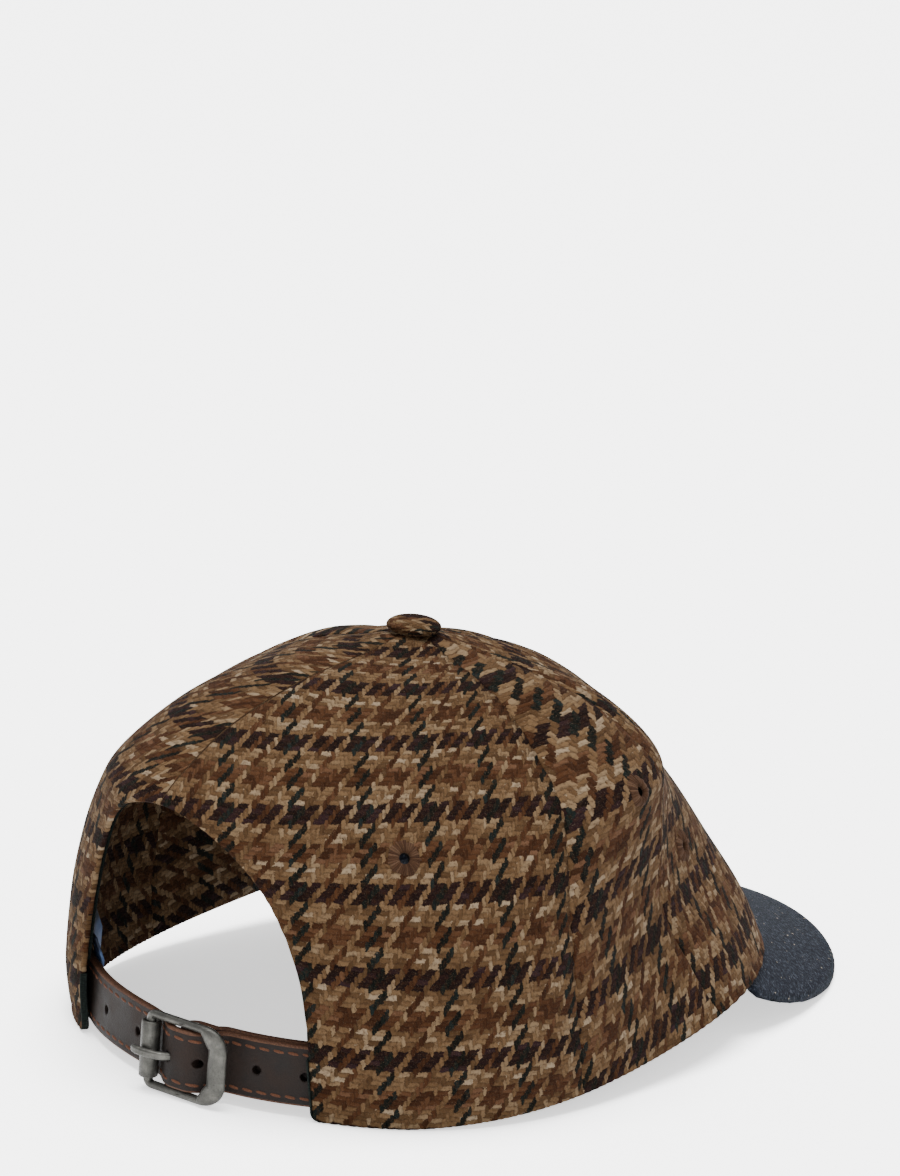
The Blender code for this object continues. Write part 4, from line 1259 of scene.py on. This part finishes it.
def build_tape(finish):
    """Tape inside the opening's edge, a little puckered where it turns."""
    lowest = STRAP_BOTTOM + STRAP_WIDTH + TAPE_ABOVE_STRAP
    u = np.linspace(0, 1, 400)
    half = u[opening_place(u)[1] * CROWN_HEIGHT >= lowest]
    skins = []
    for face in (0, 1):
        rows = []
        for across in np.linspace(0, 1, 9):
            turn, share = opening_place(half, GAP + (TAPE_WIDTH - GAP) * across)
            swell = 0.5 - 0.5 * math.sqrt(1 - (2 * across - 1) ** TAPE_EDGE_POWER)
            pucker = TAPE_PUCKER * np.sin(TAPE_PUCKERS * half) * math.sin(math.pi * across)
            depth = TWEED + GAP + TAPE_THICK * (face + (0.5 - face) * 2 * swell) + face * pucker
            right = crown_point(turn, share) - depth[:, None] * crown_normal(turn, share)
            left = right[-2::-1] * np.array([-1, 1, 1])
            rows.append(np.concatenate([right, left]))
        skins.append(np.array(rows) + SHIFT)
    tape = new_object("sewn_tape", *wall(*skins), finish)
    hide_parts("opening_tape")


def build_binding(finish):
    """Tape over the cut edge of each back panel's foot, where the strap passes behind it."""
    u = np.linspace(0, 1, 600)
    foot = u[opening_place(u)[1] * CROWN_HEIGHT <= BINDING_TALL]
    inset = edge_roll(opening_place(foot)[1] * CROWN_HEIGHT, HEM_CORNER_RADIUS)
    skins = []
    for grow in (-BINDING_THICK, -GAP / 3):
        turn, share = opening_place(foot, grow + BINDING_CORNER_SHARE * inset)
        normal = crown_normal(turn, share)
        depths = TWEED * np.linspace(BINDING_MARGIN, 1 - BINDING_MARGIN, 7)
        point = crown_point(turn, share)
        skins.append(np.array([point - depth * normal for depth in depths]) + SHIFT)
    points, faces = wall(*skins)
    for hand, flip in (("right", 1), ("left", -1)):
        piece = new_object(f"binding_{hand}", points * np.array([flip, 1, 1]), faces, finish)


def build_label(finish):
    """Bare label over the end of the strap on the wearer's left, with soft waves."""
    along = CORNER_PLACE + LABEL_FROM_EDGE + LABEL_WIDTH * np.linspace(0, 1, 90)[None, :]
    height = LABEL_BOTTOM + LABEL_HEIGHT * np.linspace(0, 1, 30)[:, None]
    lean = LABEL_LEAN * np.maximum(0, height - STRAP_BOTTOM - STRAP_WIDTH)
    wave = LABEL_WAVE * np.sin(LABEL_WAVES[0] * along + LABEL_WAVES[1] * height)
    front = lean - TONGUE_THICK - GAP - LABEL_WAVE + wave
    skins = [on_strap(along, front - more, height) for more in (0, LABEL_THICK - 2 * LABEL_WAVE)]
    label = new_object("satin_label", *wall(*skins), finish)
    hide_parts("label")


# Floor, lights and camera

def build_stage():
    half = FLOOR_HALF_SIZE
    corners = [(-half, -half, 0), (half, -half, 0), (half, half, 0), (-half, half, 0)]
    floor = linked_object("floor", corners, [(0, 1, 2, 3)])
    floor.location.z = -FLOOR_DROP
    g = Graph("pale_floor")
    white = (0.95, 0.95, 0.95, 1)
    floor.data.materials.append(g.finish(white, 0.9, Emission_Color=white, Emission_Strength=FLOOR_GLOW))


def aim_at(light, place, target=(0, 0, 0.05)):
    light.location = place
    direction = Vector(target) - Vector(place)
    light.rotation_euler = direction.to_track_quat("-Z", "Y").to_euler()
    bpy.context.scene.collection.objects.link(light)


def build_lights():
    world = bpy.data.worlds.new("studio")
    world.use_nodes = True
    background = world.node_tree.nodes["Background"]
    background.inputs["Color"].default_value = (1, 1, 1, 1)
    background.inputs["Strength"].default_value = WORLD_STRENGTH
    bpy.context.scene.world = world

    key = bpy.data.lights.new("key", "SUN")
    key.energy = KEY_STRENGTH
    key.angle = KEY_SOFTNESS
    aim_at(bpy.data.objects.new("key", key), KEY_PLACE)

    fill = bpy.data.lights.new("fill", "AREA")
    fill.shape = "DISK"
    fill.size = FILL_SIZE
    fill.energy = FILL_POWER
    aim_at(bpy.data.objects.new("fill", fill), FILL_PLACE)


def build_camera():
    data = bpy.data.cameras.new("camera")
    data.lens = CAMERA_LENS
    data.sensor_width = CAMERA_SENSOR
    data.sensor_fit = "AUTO"
    camera = bpy.data.objects.new("camera", data)
    right, up = Vector(CAMERA_RIGHT).normalized(), Vector(CAMERA_UP).normalized()
    back = right.cross(up).normalized()
    turn = Matrix((right, up, back)).transposed()
    camera.matrix_world = Matrix.Translation(CAMERA_PLACE) @ turn.to_4x4()
    bpy.context.scene.collection.objects.link(camera)
    bpy.context.scene.camera = camera


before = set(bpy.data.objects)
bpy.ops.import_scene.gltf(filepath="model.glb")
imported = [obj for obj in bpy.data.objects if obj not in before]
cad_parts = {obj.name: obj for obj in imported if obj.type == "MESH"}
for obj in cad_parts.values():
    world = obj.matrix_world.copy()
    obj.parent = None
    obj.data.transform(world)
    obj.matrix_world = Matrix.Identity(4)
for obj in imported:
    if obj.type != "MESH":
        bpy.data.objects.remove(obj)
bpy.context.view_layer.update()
button_low, button_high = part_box("button")
SHIFT = np.array([0, (button_low[1] + button_high[1]) / 2 - CROWN_TOP_BACK, 0])

tweed = tweed_material()
wool = wool_material()
brown_thread = eyelet_material()
rust_thread = thread_material((0.0590, 0.0225, 0.0110), (0.0260, 0.0100, 0.0052))
tape = tape_material()
satin = satin_material()
leather = leather_material()
metal = metal_material()

build_camera()
build_lights()
build_stage()
woven_panels = build_panels(tweed)
build_eyelets(woven_panels, brown_thread)
build_button(tweed)
build_peak(wool)
build_hem(wool)
build_straps(leather, rust_thread)
build_buckle(metal)
build_tape(tape)
build_binding(tape)
build_label(satin)
